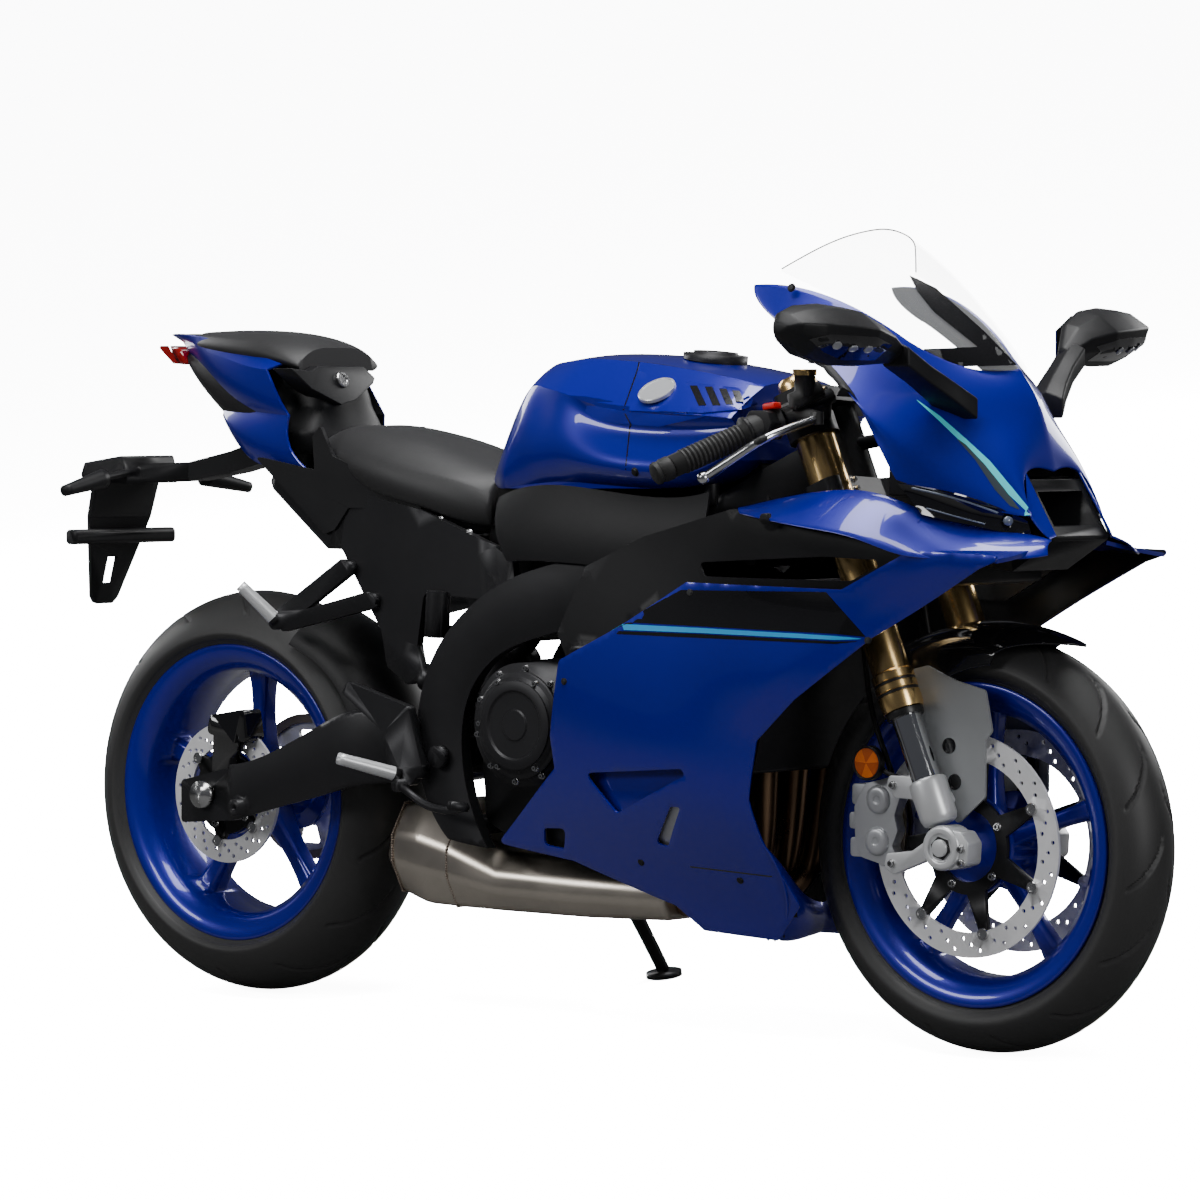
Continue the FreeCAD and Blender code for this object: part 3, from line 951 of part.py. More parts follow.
# The finished bike is leaned onto its stand, and its origin is moved to the bottom centre of its box
park = FreeCAD.Placement(V(0, 0, 0), FreeCAD.Rotation(X, -LEAN))
whole = Part.makeCompound([solid for solids in parts.values() for solid in solids])
whole.Placement = park
box = whole.optimalBoundingBox()
park.Base = V(-(box.XMin + box.XMax) / 2, -(box.YMin + box.YMax) / 2, -box.ZMin)
os.makedirs("parts", exist_ok=True)
for name, solids in parts.items():
    shape = solids[0] if len(solids) == 1 else Part.makeCompound(solids)
    shape = shape.copy()
    shape.Placement = park.multiply(shape.Placement)
    shape.exportStep("parts/%s.step" % name)

# Joint points and axes in the finished frame, in metres, for the record
AXES = {"steering": (steer_point(0, 0, HEAD_LOW_S), steer_up), "front_wheel": (FRONT_AXLE, Y),
        "rear_wheel": (REAR_AXLE, Y), "side_stand": (STAND_PIVOT, hinge), "upright": (V(0, 0, 0), Z),
        "spool_right": (SPOOL_AT - Y * SPOOL_Y, -Y), "spool_left": (SPOOL_AT + Y * SPOOL_Y, Y)}
for name, (point, axis) in AXES.items():
    at = park.multVec(point) * 0.001
    way = park.Rotation.multVec(axis)
    print("axis", name, [round(c, 6) for c in at], [round(c, 6) for c in way])
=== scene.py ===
import json
import math

import bmesh
import bpy
import numpy as np
from mathutils import Matrix, Vector
from mathutils.bvhtree import BVHTree
from mathutils.geometry import delaunay_2d_cdt

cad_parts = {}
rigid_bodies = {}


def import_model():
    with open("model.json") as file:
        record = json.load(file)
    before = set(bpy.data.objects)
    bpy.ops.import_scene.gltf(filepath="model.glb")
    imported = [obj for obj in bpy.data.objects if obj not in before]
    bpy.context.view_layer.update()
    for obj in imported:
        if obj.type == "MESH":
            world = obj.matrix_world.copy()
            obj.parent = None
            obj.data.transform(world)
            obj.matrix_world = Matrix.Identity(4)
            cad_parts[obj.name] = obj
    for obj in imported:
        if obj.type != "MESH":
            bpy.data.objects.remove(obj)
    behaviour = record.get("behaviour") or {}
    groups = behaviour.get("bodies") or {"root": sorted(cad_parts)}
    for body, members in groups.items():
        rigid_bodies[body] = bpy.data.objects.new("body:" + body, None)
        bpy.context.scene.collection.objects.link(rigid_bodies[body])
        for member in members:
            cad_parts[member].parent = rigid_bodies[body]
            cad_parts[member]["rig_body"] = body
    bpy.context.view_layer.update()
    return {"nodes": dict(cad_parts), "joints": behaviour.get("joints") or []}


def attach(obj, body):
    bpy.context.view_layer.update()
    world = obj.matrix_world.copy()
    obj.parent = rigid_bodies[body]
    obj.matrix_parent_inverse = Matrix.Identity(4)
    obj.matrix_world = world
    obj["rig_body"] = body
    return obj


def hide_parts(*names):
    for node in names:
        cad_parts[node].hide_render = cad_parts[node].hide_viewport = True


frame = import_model()

# Camera and ground. The motorcycle is drawn upright in millimetres, with X forward from the middle
# of the wheelbase, Y to the rider's left and Z up, and stands leaned over onto its side stand.
LEAN = math.radians(-10.0)
WHEELBASE = 1420.0
FRONT_TYRE_R = 300.0
FRONT_CROWN = 0.52 * 120.0
RAISE = 1 / math.cos(LEAN) - 1
FRONT_AXLE = Vector((WHEELBASE / 2, 0, FRONT_TYRE_R + FRONT_CROWN * RAISE))
TURNED = Matrix.Rotation(LEAN, 4, "X")
axle_at = Vector(next(j["pos_m"] for j in frame["joints"] if j["name"] == "front_wheel_spin"))
PARKED = Matrix.Translation(axle_at - TURNED @ (FRONT_AXLE * 0.001)) @ TURNED
IN_BIKE = PARKED @ Matrix.Diagonal((0.001, 0.001, 0.001, 1.0))

CAMERA_AT = Vector((5862.1, -7069.8, 962.9))
CAMERA_YAW = math.radians(39.768)
CAMERA_DOWN = math.radians(2.063)
CAMERA_LENS = 183.66
SENSOR_WIDTH = 36.0


def link(name, data):
    thing = bpy.data.objects.new(name, data)
    bpy.context.scene.collection.objects.link(thing)
    return thing


cam_data = bpy.data.cameras.new("camera")
cam_data.lens = CAMERA_LENS
cam_data.sensor_width = SENSOR_WIDTH
cam_data.clip_end = 60.0
camera = link("camera", cam_data)
bpy.context.scene.camera = camera
aim = Matrix.Rotation(CAMERA_YAW, 4, "Z") @ Matrix.Rotation(math.pi / 2 - CAMERA_DOWN, 4, "X")
camera.matrix_world = PARKED @ Matrix.Translation(CAMERA_AT * 0.001) @ aim


def soft_light(name, at, towards, size, power):
    """A rectangular studio lamp, placed in the upright bike's metres."""
    lamp = bpy.data.lights.new(name, "AREA")
    lamp.shape = "RECTANGLE"
    lamp.size, lamp.size_y = size
    lamp.energy = power
    thing = link(name, lamp)
    place = PARKED @ Vector(at)
    aim_at = (PARKED @ Vector(towards)) - place
    thing.matrix_world = Matrix.Translation(place) @ aim_at.to_track_quat("-Z", "Y").to_matrix().to_4x4()


soft_light("key_above", (0.2, -0.6, 4.0), (0.0, 0.0, 0.6), (4.2, 1.8), 230)
soft_light("front_side", (5.2, -1.4, 1.9), (0.5, 0.0, 0.6), (1.2, 2.4), 80)
soft_light("right_side", (-2.4, -5.0, 2.6), (-0.2, 0.0, 0.5), (3.0, 1.0), 90)
soft_light("rear_side", (-4.6, 0.6, 2.2), (-0.4, 0.0, 0.6), (1.6, 1.6), 60)
soft_light("left_side", (0.6, 4.8, 2.4), (0.0, 0.0, 0.6), (3.0, 1.2), 90)

ROOM_GREY = (0.06, 0.062, 0.07, 1)
BACKDROP_WHITE = (11.0, 11.0, 11.0, 1)
world = bpy.data.worlds.new("studio")
bpy.context.scene.world = world
world.use_nodes = True
sky = world.node_tree.nodes["Background"]
seen = world.node_tree.nodes.new("ShaderNodeLightPath")
pick = world.node_tree.nodes.new("ShaderNodeMix")
pick.data_type = "RGBA"
pick.inputs[6].default_value = ROOM_GREY
pick.inputs[7].default_value = BACKDROP_WHITE
world.node_tree.links.new(seen.outputs["Is Camera Ray"], pick.inputs[0])
world.node_tree.links.new(pick.outputs[2], sky.inputs["Color"])
sky.inputs["Strength"].default_value = 1.0

FLOOR_HALF = 28
floor_mesh = bpy.data.meshes.new("floor")
floor_corners = [(x * FLOOR_HALF, y * FLOOR_HALF, 0) for x, y in ((-1, -1), (1, -1), (1, 1), (-1, 1))]
floor_mesh.from_pydata(floor_corners, [], [(0, 1, 2, 3)])
floor = link("floor", floor_mesh)
floor_paint = bpy.data.materials.new("floor_paint")
floor_paint.use_nodes = True
paint_tree = floor_paint.node_tree
paint_tree.nodes.remove(paint_tree.nodes["Principled BSDF"])
pale = paint_tree.nodes.new("ShaderNodeBsdfDiffuse")
glow = paint_tree.nodes.new("ShaderNodeEmission")
glow.inputs["Strength"].default_value = 10.0
dull = paint_tree.nodes.new("ShaderNodeBsdfDiffuse")
dull.inputs["Color"].default_value = (0.14, 0.14, 0.14, 1)
pale.inputs["Color"].default_value = (16.0, 16.0, 16.0, 1)
lit = paint_tree.nodes.new("ShaderNodeAddShader")
choose = paint_tree.nodes.new("ShaderNodeMixShader")
ray = paint_tree.nodes.new("ShaderNodeLightPath")
paint_tree.links.new(pale.outputs[0], lit.inputs[0])
paint_tree.links.new(glow.outputs[0], lit.inputs[1])
paint_tree.links.new(ray.outputs["Is Camera Ray"], choose.inputs[0])
paint_tree.links.new(dull.outputs[0], choose.inputs[1])
paint_tree.links.new(lit.outputs[0], choose.inputs[2])
paint_tree.links.new(choose.outputs[0], paint_tree.nodes["Material Output"].inputs["Surface"])
floor_mesh.materials.append(floor_paint)

# Frame: two cast aluminium beams from the head tube down to the pivot plates, with the bracket of the
# side stand. It is painted satin black, and the engine bolts into it.
CREASE = 32.0
NODES = frame["nodes"]


def sockets(shader, **values):
    for name, value in values.items():
        shader.inputs[name.replace("_", " ")].default_value = value


def finish_of(name, colour, metallic=0.0, rough=0.5, grain=900.0, bump=0.0, spread=0.12, patches=14.0,
              **more):
    """A material with fine noise in its colour and roughness, and a small bump."""
    material = bpy.data.materials.new(name)
    material.use_nodes = True
    tree = material.node_tree
    shader = tree.nodes["Principled BSDF"]
    sockets(shader, Metallic=metallic, **more)
    place = tree.nodes.new("ShaderNodeTexCoord")
    cloud = tree.nodes.new("ShaderNodeTexNoise")
    cloud.inputs["Scale"].default_value = patches
    cloud.inputs["Detail"].default_value = 4.0
    tree.links.new(place.outputs["Object"], cloud.inputs["Vector"])
    tint = tree.nodes.new("ShaderNodeMapRange")
    tint.inputs["To Min"].default_value = rough * (1 - spread)
    tint.inputs["To Max"].default_value = rough * (1 + spread)
    tree.links.new(cloud.outputs["Fac"], tint.inputs["Value"])
    tree.links.new(tint.outputs["Result"], shader.inputs["Roughness"])
    shade = tree.nodes.new("ShaderNodeMix")
    shade.data_type = "RGBA"
    shade.inputs[6].default_value = tuple(c * (1 - spread * 0.6) for c in colour) + (1,)
    shade.inputs[7].default_value = tuple(min(1.0, c * (1 + spread * 0.6)) for c in colour) + (1,)
    tree.links.new(cloud.outputs["Fac"], shade.inputs[0])
    tree.links.new(shade.outputs[2], shader.inputs["Base Color"])
    if bump:
        fine = tree.nodes.new("ShaderNodeTexNoise")
        fine.inputs["Scale"].default_value = grain
        fine.inputs["Detail"].default_value = 2.0
        tree.links.new(place.outputs["Object"], fine.inputs["Vector"])
        rise = tree.nodes.new("ShaderNodeBump")
        rise.inputs["Strength"].default_value = 0.35
        rise.inputs["Distance"].default_value = bump
        tree.links.new(fine.outputs["Fac"], rise.inputs["Height"])
        tree.links.new(rise.outputs["Normal"], shader.inputs["Normal"])
    return material


def dressed(node, name, material):
    """A smooth copy of a CAD node's mesh in its finish, which stands for the node."""
    source = NODES[node]
    mesh = source.data.copy()
    mesh.name = name
    shape = bmesh.new()
    shape.from_mesh(mesh)
    bmesh.ops.remove_doubles(shape, verts=shape.verts, dist=2e-5)
    bmesh.ops.dissolve_degenerate(shape, edges=shape.edges, dist=1e-6)
    shape.to_mesh(mesh)
    shape.free()
    mesh.shade_smooth()
    mesh.set_sharp_from_angle(angle=math.radians(CREASE))
    mesh.materials.clear()
    mesh.materials.append(material)
    thing = link(name, mesh)
    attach(thing, source["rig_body"])
    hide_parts(node)
    return thing


frame_black = finish_of("frame_black", (0.020, 0.020, 0.022), 0.5, 0.42, bump=0.00006, grain=1100.0)
for node, name in (("main_frame", "frame_casting"), ("subframe", "subframe_castings"),
                   ("nose_stay", "nose_stay_tubes"), ("side_stays", "fairing_stays"),
                   ("side_stand", "side_stand_leg")):
    dressed(node, name, frame_black)

# Engine: one cast block with its clutch cover on the right and generator cover on the left, painted black,
# with the radiator in front of it. The covers are held by a ring of small bolts.
engine_black = finish_of("engine_black", (0.016, 0.016, 0.018), 0.4, 0.45, bump=0.0001, grain=800.0)
bright_steel = finish_of("bright_steel", (0.60, 0.60, 0.60), 1.0, 0.24, spread=0.2, patches=60.0)
# The screws' sockets are flat dark hexagons on their heads: painted shade for the recess of each socket.
socket_painted_shade = finish_of("socket_painted_shade", (0.02, 0.02, 0.02), 0.6, 0.5)
dressed("engine", "engine_block", engine_black)
dressed("radiator", "radiator_core", engine_black)
CLUTCH = Vector((-15, 0, 452))
GENERATOR = Vector((40, 0, 440))


def mesh_from(name, shape):
    """A mesh from an edit mesh, which is let go."""
    mesh = bpy.data.meshes.new(name)
    shape.to_mesh(mesh)
    shape.free()
    return mesh


def lathe(name, rows, at, way, turns=48, ring=False):
    """A turned part: rows of distance along its axis and radius, closed at the ends or into a ring."""
    way = Vector(way).normalized()
    side = way.orthogonal().normalized()
    other = way.cross(side)
    shape = bmesh.new()
    rings = []
    for along, radius in rows:
        middle = Vector(at) + way * along
        rings.append([shape.verts.new(middle + (side * math.cos(2 * math.pi * k / turns)
                                                + other * math.sin(2 * math.pi * k / turns)) * radius)
                      for k in range(turns)])
    for low, high in zip(rings, rings[1:] + (rings[:1] if ring else [])):
        for k in range(turns):
            n = (k + 1) % turns
            shape.faces.new((low[k], low[n], high[n], high[k]))
    if not ring:
        shape.faces.new(rings[0])
        shape.faces.new(rings[-1])
    bmesh.ops.recalc_face_normals(shape, faces=shape.faces)
    return mesh_from(name, shape)


def settle(thing):
    """The piece with its modifiers applied, as a plain mesh."""
    ready = bpy.data.meshes.new_from_object(thing.evaluated_get(bpy.context.evaluated_depsgraph_get()))
    thing.modifiers.clear()
    old = thing.data
    thing.data = ready
    bpy.data.meshes.remove(old)


def piece(name, mesh, materials, body, nodes=(), wall=0.0, edge=0.0, edge_angle=35, cuts=2,
          crease=CREASE):
    """A finished piece from a mesh in millimetres: wall, rounded edges, shading, place, its body and hidden
    nodes.
    """
    thing = link(name, mesh)
    for material in materials:
        mesh.materials.append(material)
    if wall:
        solid = thing.modifiers.new("wall", "SOLIDIFY")
        solid.thickness = wall
        solid.offset = -1.0
        solid.use_even_offset = True
        solid.material_offset = len(materials) - 1
        solid.material_offset_rim = 0
    if edge:
        bevel = thing.modifiers.new("edge", "BEVEL")
        bevel.width = edge
        bevel.segments = cuts
        bevel.limit_method = "ANGLE"
        bevel.angle_limit = math.radians(edge_angle)
        bevel.harden_normals = False
    if wall or edge:
        settle(thing)
    thing.data.transform(IN_BIKE)
    thing.data.shade_smooth()
    thing.data.set_sharp_from_angle(angle=math.radians(crease))
    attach(thing, body)
    if nodes:
        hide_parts(*nodes)
    return thing


def screw_tree():
    """Geometry nodes: a flanged screw on each point, along its aim, its socket a flat hexagon of painted
    shade.
    """
    tree = bpy.data.node_groups.new("screws", "GeometryNodeTree")
    face = tree.interface
    face.new_socket("Points", in_out="INPUT", socket_type="NodeSocketGeometry")
    face.new_socket("Radius", in_out="INPUT", socket_type="NodeSocketFloat")
    face.new_socket("Height", in_out="INPUT", socket_type="NodeSocketFloat")
    face.new_socket("Metal", in_out="INPUT", socket_type="NodeSocketMaterial")
    face.new_socket("Socket", in_out="INPUT", socket_type="NodeSocketMaterial")
    face.new_socket("Screws", in_out="OUTPUT", socket_type="NodeSocketGeometry")
    new, join = tree.nodes.new, tree.links.new
    given, result = new("NodeGroupInput"), new("NodeGroupOutput")
    parts = new("GeometryNodeJoinGeometry")
    for wide, tall, foot, sides, metal in ((1.0, 0.35, 0.0, 24, "Metal"), (0.74, 1.0, 0.0, 24, "Metal"),
                                           (0.40, 0.04, 1.0, 6, "Socket")):
        cone = new("GeometryNodeMeshCone")
        cone.inputs["Vertices"].default_value = sides
        for share, socket in ((wide, "Radius Bottom"), (wide * 0.86, "Radius Top"), (tall, "Depth")):
            scale = new("ShaderNodeMath")
            scale.operation = "MULTIPLY"
            scale.inputs[1].default_value = share
            join(given.outputs["Height" if socket == "Depth" else "Radius"], scale.inputs[0])
            join(scale.outputs[0], cone.inputs[socket])
        lift = new("ShaderNodeMath")
        lift.operation = "MULTIPLY"
        lift.inputs[1].default_value = foot
        join(given.outputs["Height"], lift.inputs[0])
        up = new("ShaderNodeCombineXYZ")
        join(lift.outputs[0], up.inputs["Z"])
        raised = new("GeometryNodeTransform")
        join(cone.outputs["Mesh"], raised.inputs["Geometry"])
        join(up.outputs[0], raised.inputs["Translation"])
        coloured = new("GeometryNodeSetMaterial")
        join(raised.outputs[0], coloured.inputs["Geometry"])
        join(given.outputs[metal], coloured.inputs["Material"])
        join(coloured.outputs[0], parts.inputs[0])
    aim = new("GeometryNodeInputNamedAttribute")
    aim.data_type = "FLOAT_VECTOR"
    aim.inputs["Name"].default_value = "aim"
    turn = new("FunctionNodeAlignEulerToVector")
    turn.axis = "Z"
    join(aim.outputs["Attribute"], turn.inputs["Vector"])
    copies = new("GeometryNodeInstanceOnPoints")
    join(given.outputs["Points"], copies.inputs["Points"])
    join(parts.outputs[0], copies.inputs["Instance"])
    join(turn.outputs[0], copies.inputs["Rotation"])
    real = new("GeometryNodeRealizeInstances")
    join(copies.outputs[0], real.inputs[0])
    join(real.outputs[0], result.inputs[0])
    return tree


SCREWS = screw_tree()


def screws(name, spots, radius, height, metal, socket, body, mirror=False):
    """Screws at places on the bike: each spot is a point and the way its head faces, in millimetres."""
    if mirror:
        spots = list(spots) + [(Vector((p[0], -p[1], p[2])), Vector((w[0], -w[1], w[2]))) for p, w in spots]
    mesh = bpy.data.meshes.new(name)
    mesh.from_pydata([IN_BIKE @ Vector(p) for p, _ in spots], [], [])
    turned = IN_BIKE.to_3x3().normalized()
    aims = mesh.attributes.new("aim", "FLOAT_VECTOR", "POINT")
    for entry, (_, way) in zip(aims.data, spots):
        entry.vector = (turned @ Vector(way)).normalized()
    thing = link(name, mesh)
    nodes = thing.modifiers.new("screws", "NODES")
    nodes.node_group = SCREWS
    names = {item.name: item.identifier for item in SCREWS.interface.items_tree if item.in_out == "INPUT"}
    nodes[names["Radius"]] = radius * 0.001
    nodes[names["Height"]] = height * 0.001
    nodes[names["Metal"]] = metal
    nodes[names["Socket"]] = socket
    settle(thing)
    thing.data.shade_smooth()
    thing.data.set_sharp_from_angle(angle=math.radians(30))
    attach(thing, body)
    return thing


def bolt_ring(middle, radius, y, way, count, start=0.0):
    """Places on a circle round a cover, with their heads facing outwards."""
    return [(Vector((middle.x + radius * math.cos(start + 2 * math.pi * k / count), y,
                     middle.z + radius * math.sin(start + 2 * math.pi * k / count))), Vector((0, way, 0)))
            for k in range(count)]


clutch_lid = lathe("clutch_lid", [(0, 78), (3, 80), (8, 80), (11, 77), (12, 68), (14, 66), (18, 66), (20, 60),
                                  (20, 52), (17, 49), (17, 24), (19, 22), (19, 0.5)],
                   CLUTCH - Vector((0, 188, 0)), (0, -1, 0), 64)
piece("clutch_lid_casting", clutch_lid, [engine_black], "chassis", crease=40)
generator_lid = lathe("generator_lid", [(0, 60), (8, 60), (12, 56), (12, 44), (9, 42), (9, 0.5)],
                      GENERATOR + Vector((0, 150, 0)), (0, 1, 0), 56)
piece("generator_lid_casting", generator_lid, [engine_black], "chassis", crease=40)
screws("engine_screws", bolt_ring(CLUTCH, 85, -190, -1, 10, 0.2) + bolt_ring(CLUTCH, 72, -199, -1, 6)
       + bolt_ring(GENERATOR, 68, 150, 1, 8, 0.3), 5.5, 6, bright_steel, socket_painted_shade, "chassis")

# Exhaust: three header pipes into a collector, and a box of welded steel under the engine.
# The pipes are tinted bronze by heat, and the box shows its weld beads.
exhaust_steel = finish_of("exhaust_steel", (0.66, 0.60, 0.52), 1.0, 0.32, spread=0.3, patches=9.0)
header_bronze = finish_of("header_bronze", (0.26, 0.16, 0.095), 1.0, 0.30, spread=0.3, patches=12.0)
weld_steel = finish_of("weld_steel", (0.33, 0.27, 0.22), 1.0, 0.42, spread=0.3, patches=300.0)


def bent_tube(name, points, diameter):
    """A round tube that follows points smoothly."""
    curve = bpy.data.curves.new(name, "CURVE")
    curve.dimensions = "3D"
    curve.bevel_depth = diameter / 2
    curve.bevel_resolution = 5
    curve.use_fill_caps = True
    curve.resolution_u = 10
    line = curve.splines.new("NURBS")
    line.points.add(len(points) - 1)
    for spot, place in zip(line.points, points):
        spot.co = (*place, 1.0)
    line.order_u = 3
    line.use_endpoint_u = True
    holder = link(name, curve)
    mesh = bpy.data.meshes.new_from_object(holder.evaluated_get(bpy.context.evaluated_depsgraph_get()))
    bpy.data.objects.remove(holder)
    bpy.data.curves.remove(curve)
    return mesh


def joined(name, meshes, mirror=False):
    """Meshes put together as one, with a mirror image added on the other side, and equal points merged."""
    whole = bmesh.new()
    for mesh in meshes:
        whole.from_mesh(mesh)
        bpy.data.meshes.remove(mesh)
    if mirror:
        made = bmesh.ops.duplicate(whole, geom=whole.verts[:] + whole.edges[:] + whole.faces[:])["geom"]
        copies = [g for g in made if isinstance(g, bmesh.types.BMVert)]
        for v in copies:
            v.co.y = -v.co.y
        bmesh.ops.reverse_faces(whole, faces=[g for g in made if isinstance(g, bmesh.types.BMFace)])
    bmesh.ops.remove_doubles(whole, verts=whole.verts, dist=0.02)
    return mesh_from(name, whole)


PIPE_YS = (-72, 0, 72)
pipes = [bent_tube("header", [(320, y, 552), (368, y, 522), (360, y, 470), (352, y, 400), (342, y * 0.9, 300),
                              (326, y * 0.8, 226), (270, y * 0.6, 196), (205, y * 0.45, 196)], 38)
         for y in PIPE_YS]
pipes.append(lathe("collector", [(0, 30), (6, 42), (40, 41), (90, 36), (99, 35)], (250, 0, 198), (-1, 0, 0)))
pipes += [lathe("flange", [(0, 27), (1, 28), (9, 28), (10, 27)], (330, y, 552), (-0.9, 0, 0.4))
          for y in PIPE_YS]
piece("header_pipes", joined("headers", pipes), [header_bronze], "chassis",
      ["exhaust_headers"])
WELD_WIDTH = 5.0
MUFFLER = ((-374, 84, 206, 262), (-352, 100, 180, 316), (-300, 104, 164, 322), (-240, 102, 162, 300),
           (-150, 96, 160, 252), (0, 84, 158, 243), (150, 60, 160, 235))


def loft(name, loops):
    """A closed body through closed loops that all have the same count of points."""
    shape = bmesh.new()
    rings = [[shape.verts.new(p) for p in loop] for loop in loops]
    for low, high in zip(rings, rings[1:]):
        for k in range(len(low)):
            n = (k + 1) % len(low)
            shape.faces.new((low[k], low[n], high[n], high[k]))
    shape.faces.new(rings[0])
    shape.faces.new(rings[-1])
    bmesh.ops.recalc_face_normals(shape, faces=shape.faces)
    return mesh_from(name, shape)


def muffler_ring(x, half, low, high, out=0.0):
    """The eight corners of the box at one place along it."""
    tall = high - low
    half, low, high = half + out, low - out, high + out
    right = [(half * 0.75, low), (half, low + tall * 0.35), (half, high - tall * 0.35), (half * 0.7, high)]
    return [(x, -y, z) for y, z in right] + [(x, y, z) for y, z in reversed(right)]


muffler_mesh = loft("muffler", [muffler_ring(*section) for section in MUFFLER])
piece("muffler_box", muffler_mesh, [exhaust_steel], "chassis", ["muffler"], edge=9, edge_angle=8,
      cuts=5, crease=50)


def weld(name, loop):
    """A weld: small overlapping beads along a closed line."""
    shape = bmesh.new()
    for a, b in zip(loop, loop[1:] + loop[:1]):
        a, b = Vector(a), Vector(b)
        beads = max(1, round((b - a).length / (WELD_WIDTH * 0.8)))
        for k in range(beads):
            place = Matrix.Translation(a.lerp(b, k / beads))
            bmesh.ops.create_icosphere(shape, subdivisions=1, radius=WELD_WIDTH / 2, matrix=place)
    piece(name, mesh_from(name, shape), [weld_steel], "chassis", crease=60)


for number, at in enumerate((1, 3)):
    weld("muffler_weld_%d" % number, muffler_ring(*MUFFLER[at], out=-0.8))

# Swingarm: two aluminium arms, painted black, on the pivot bolt, with the shock absorber, the chain,
# the hugger and the rear brake on it.
arm_black = finish_of("arm_black", (0.018, 0.018, 0.020), 0.3, 0.36, bump=0.00005, grain=1100.0)
black_gloss = finish_of("black_gloss", (0.006, 0.006, 0.007), 0.0, 0.12, spread=0.1, Coat_Weight=0.6,
                        Coat_Roughness=0.04)
black_plastic = finish_of("black_plastic", (0.008, 0.008, 0.009), 0.0, 0.46, bump=0.00012, grain=1400.0,
                          Specular_IOR_Level=0.3)
chain_steel = finish_of("chain_steel", (0.30, 0.26, 0.20), 1.0, 0.36, spread=0.2)
dressed("swingarm", "swing_arms", arm_black)
dressed("rear_axle", "rear_axle_bolt", bright_steel)
dressed("rear_shock", "shock_absorber", engine_black)
dressed("rear_caliper", "rear_caliper_body", black_gloss)
dressed("hugger", "hugger_shell", black_plastic)
dressed("chain", "drive_chain", chain_steel)

# Wheels: cast aluminium rims with five spokes, painted blue. Their drilled steel discs sit on black
# carriers, held by silver bobbins, and the carriers are screwed to the hubs.
wheel_blue = finish_of("wheel_blue", (0.003, 0.004, 0.34), 0.3, 0.3, spread=0.05, Coat_Weight=0.9,
                       Coat_Roughness=0.06)
disc_steel = finish_of("disc_steel", (0.86, 0.86, 0.87), 0.25, 0.36, spread=0.15, patches=40.0)
carrier_black = finish_of("carrier_black", (0.018, 0.018, 0.019), 0.5, 0.36, bump=0.00004, grain=1000.0)
cast_silver = finish_of("cast_silver", (0.74, 0.75, 0.76), 0.5, 0.36, bump=0.00008)
dressed("rear_rim", "rear_wheel_rim", wheel_blue)
dressed("front_rim", "front_wheel_rim", wheel_blue)
REAR_TYRE_R = 315.0
REAR_CROWN = 0.52 * 182.0
REAR_AXLE = Vector((-WHEELBASE / 2, 0, REAR_TYRE_R + REAR_CROWN * RAISE))
DISC_BAND = 36.0
FRONT_DISC_R = 160.0
REAR_DISC_R = 110.0


def painted(thing, materials, choose):
    """Other finishes for some faces: choose gives the finish's number for a face's place and facing."""
    for material in materials:
        thing.data.materials.append(material)
    back = IN_BIKE.inverted()
    turned = back.to_3x3().normalized()
    for face in thing.data.polygons:
        face.material_index = choose(back @ face.center, turned @ face.normal)


def disc_faces(axle, radius):
    """The drilled band stays steel, and everything inside it is the black carrier."""
    return lambda at, facing: 0 if math.hypot(at.x - axle.x, at.z - axle.z) > radius - DISC_BAND - 0.3 else 1


def bobbins(name, axle, radius, y, side, count, body):
    """Silver rivets that hold a disc's band on its carrier."""
    at_r = radius - DISC_BAND + 4
    made = []
    for k in range(count):
        turn = math.radians(12.0 + 360.0 * k / count)
        at = Vector((axle.x + at_r * math.sin(turn), y, axle.z + at_r * math.cos(turn)))
        made.append(lathe(name, [(0, 9.0), (3.4, 9.0), (4.2, 8.2), (4.2, 5.4), (3.2, 4.9), (3.2, 0.4)], at,
                          (0, side, 0), 24))
    piece(name, joined(name, made), [bright_steel], body, crease=40)


rear_disc = dressed("rear_disc", "rear_brake_disc", disc_steel)
painted(rear_disc, [carrier_black], disc_faces(REAR_AXLE, REAR_DISC_R))
front_discs = dressed("front_discs", "front_brake_discs", disc_steel)
painted(front_discs, [carrier_black], disc_faces(FRONT_AXLE, FRONT_DISC_R))
for side, word in ((-1, "right"), (1, "left")):
    bobbins("front_bobbins_" + word, FRONT_AXLE, FRONT_DISC_R, side * 65.0, side, 7, "front_wheel")
bobbins("rear_bobbins", REAR_AXLE, REAR_DISC_R, -88.5, -1, 6, "rear_wheel")
hub_screws = []
for side in (-1, 1):
    hub_screws += bolt_ring(FRONT_AXLE, 61, side * 64.2, side, 5, 0.5)
screws("front_disc_screws", hub_screws, 6.5, 5, bright_steel, socket_painted_shade, "front_wheel")
screws("rear_disc_screws", bolt_ring(REAR_AXLE, 54, -87.5, -1, 5, 0.5), 6.5, 5, bright_steel, socket_painted_shade,
       "rear_wheel")
dressed("rear_sprocket", "rear_sprocket_ring", cast_silver)

# Tyres: black rubber, moulded over cords and seated on the rims by two beads, with long curved rain
# grooves on both sides of the crown.
tyre_rubber = finish_of("tyre_rubber", (0.030, 0.030, 0.030), 0.0, 0.52, bump=0.00008)
GROOVE_DEEP = 3.2
GROOVE_HALF = 2.6
BEAD_R = 218.0
TYRE_STEPS = 660


def skin_of(thing):
    """A finished piece's surface, in the bike's millimetres, for others to lie on."""
    shape = bmesh.new()
    shape.from_mesh(thing.data)
    shape.transform(IN_BIKE.inverted())
    tree = BVHTree.FromBMesh(shape)
    shape.free()
    return tree


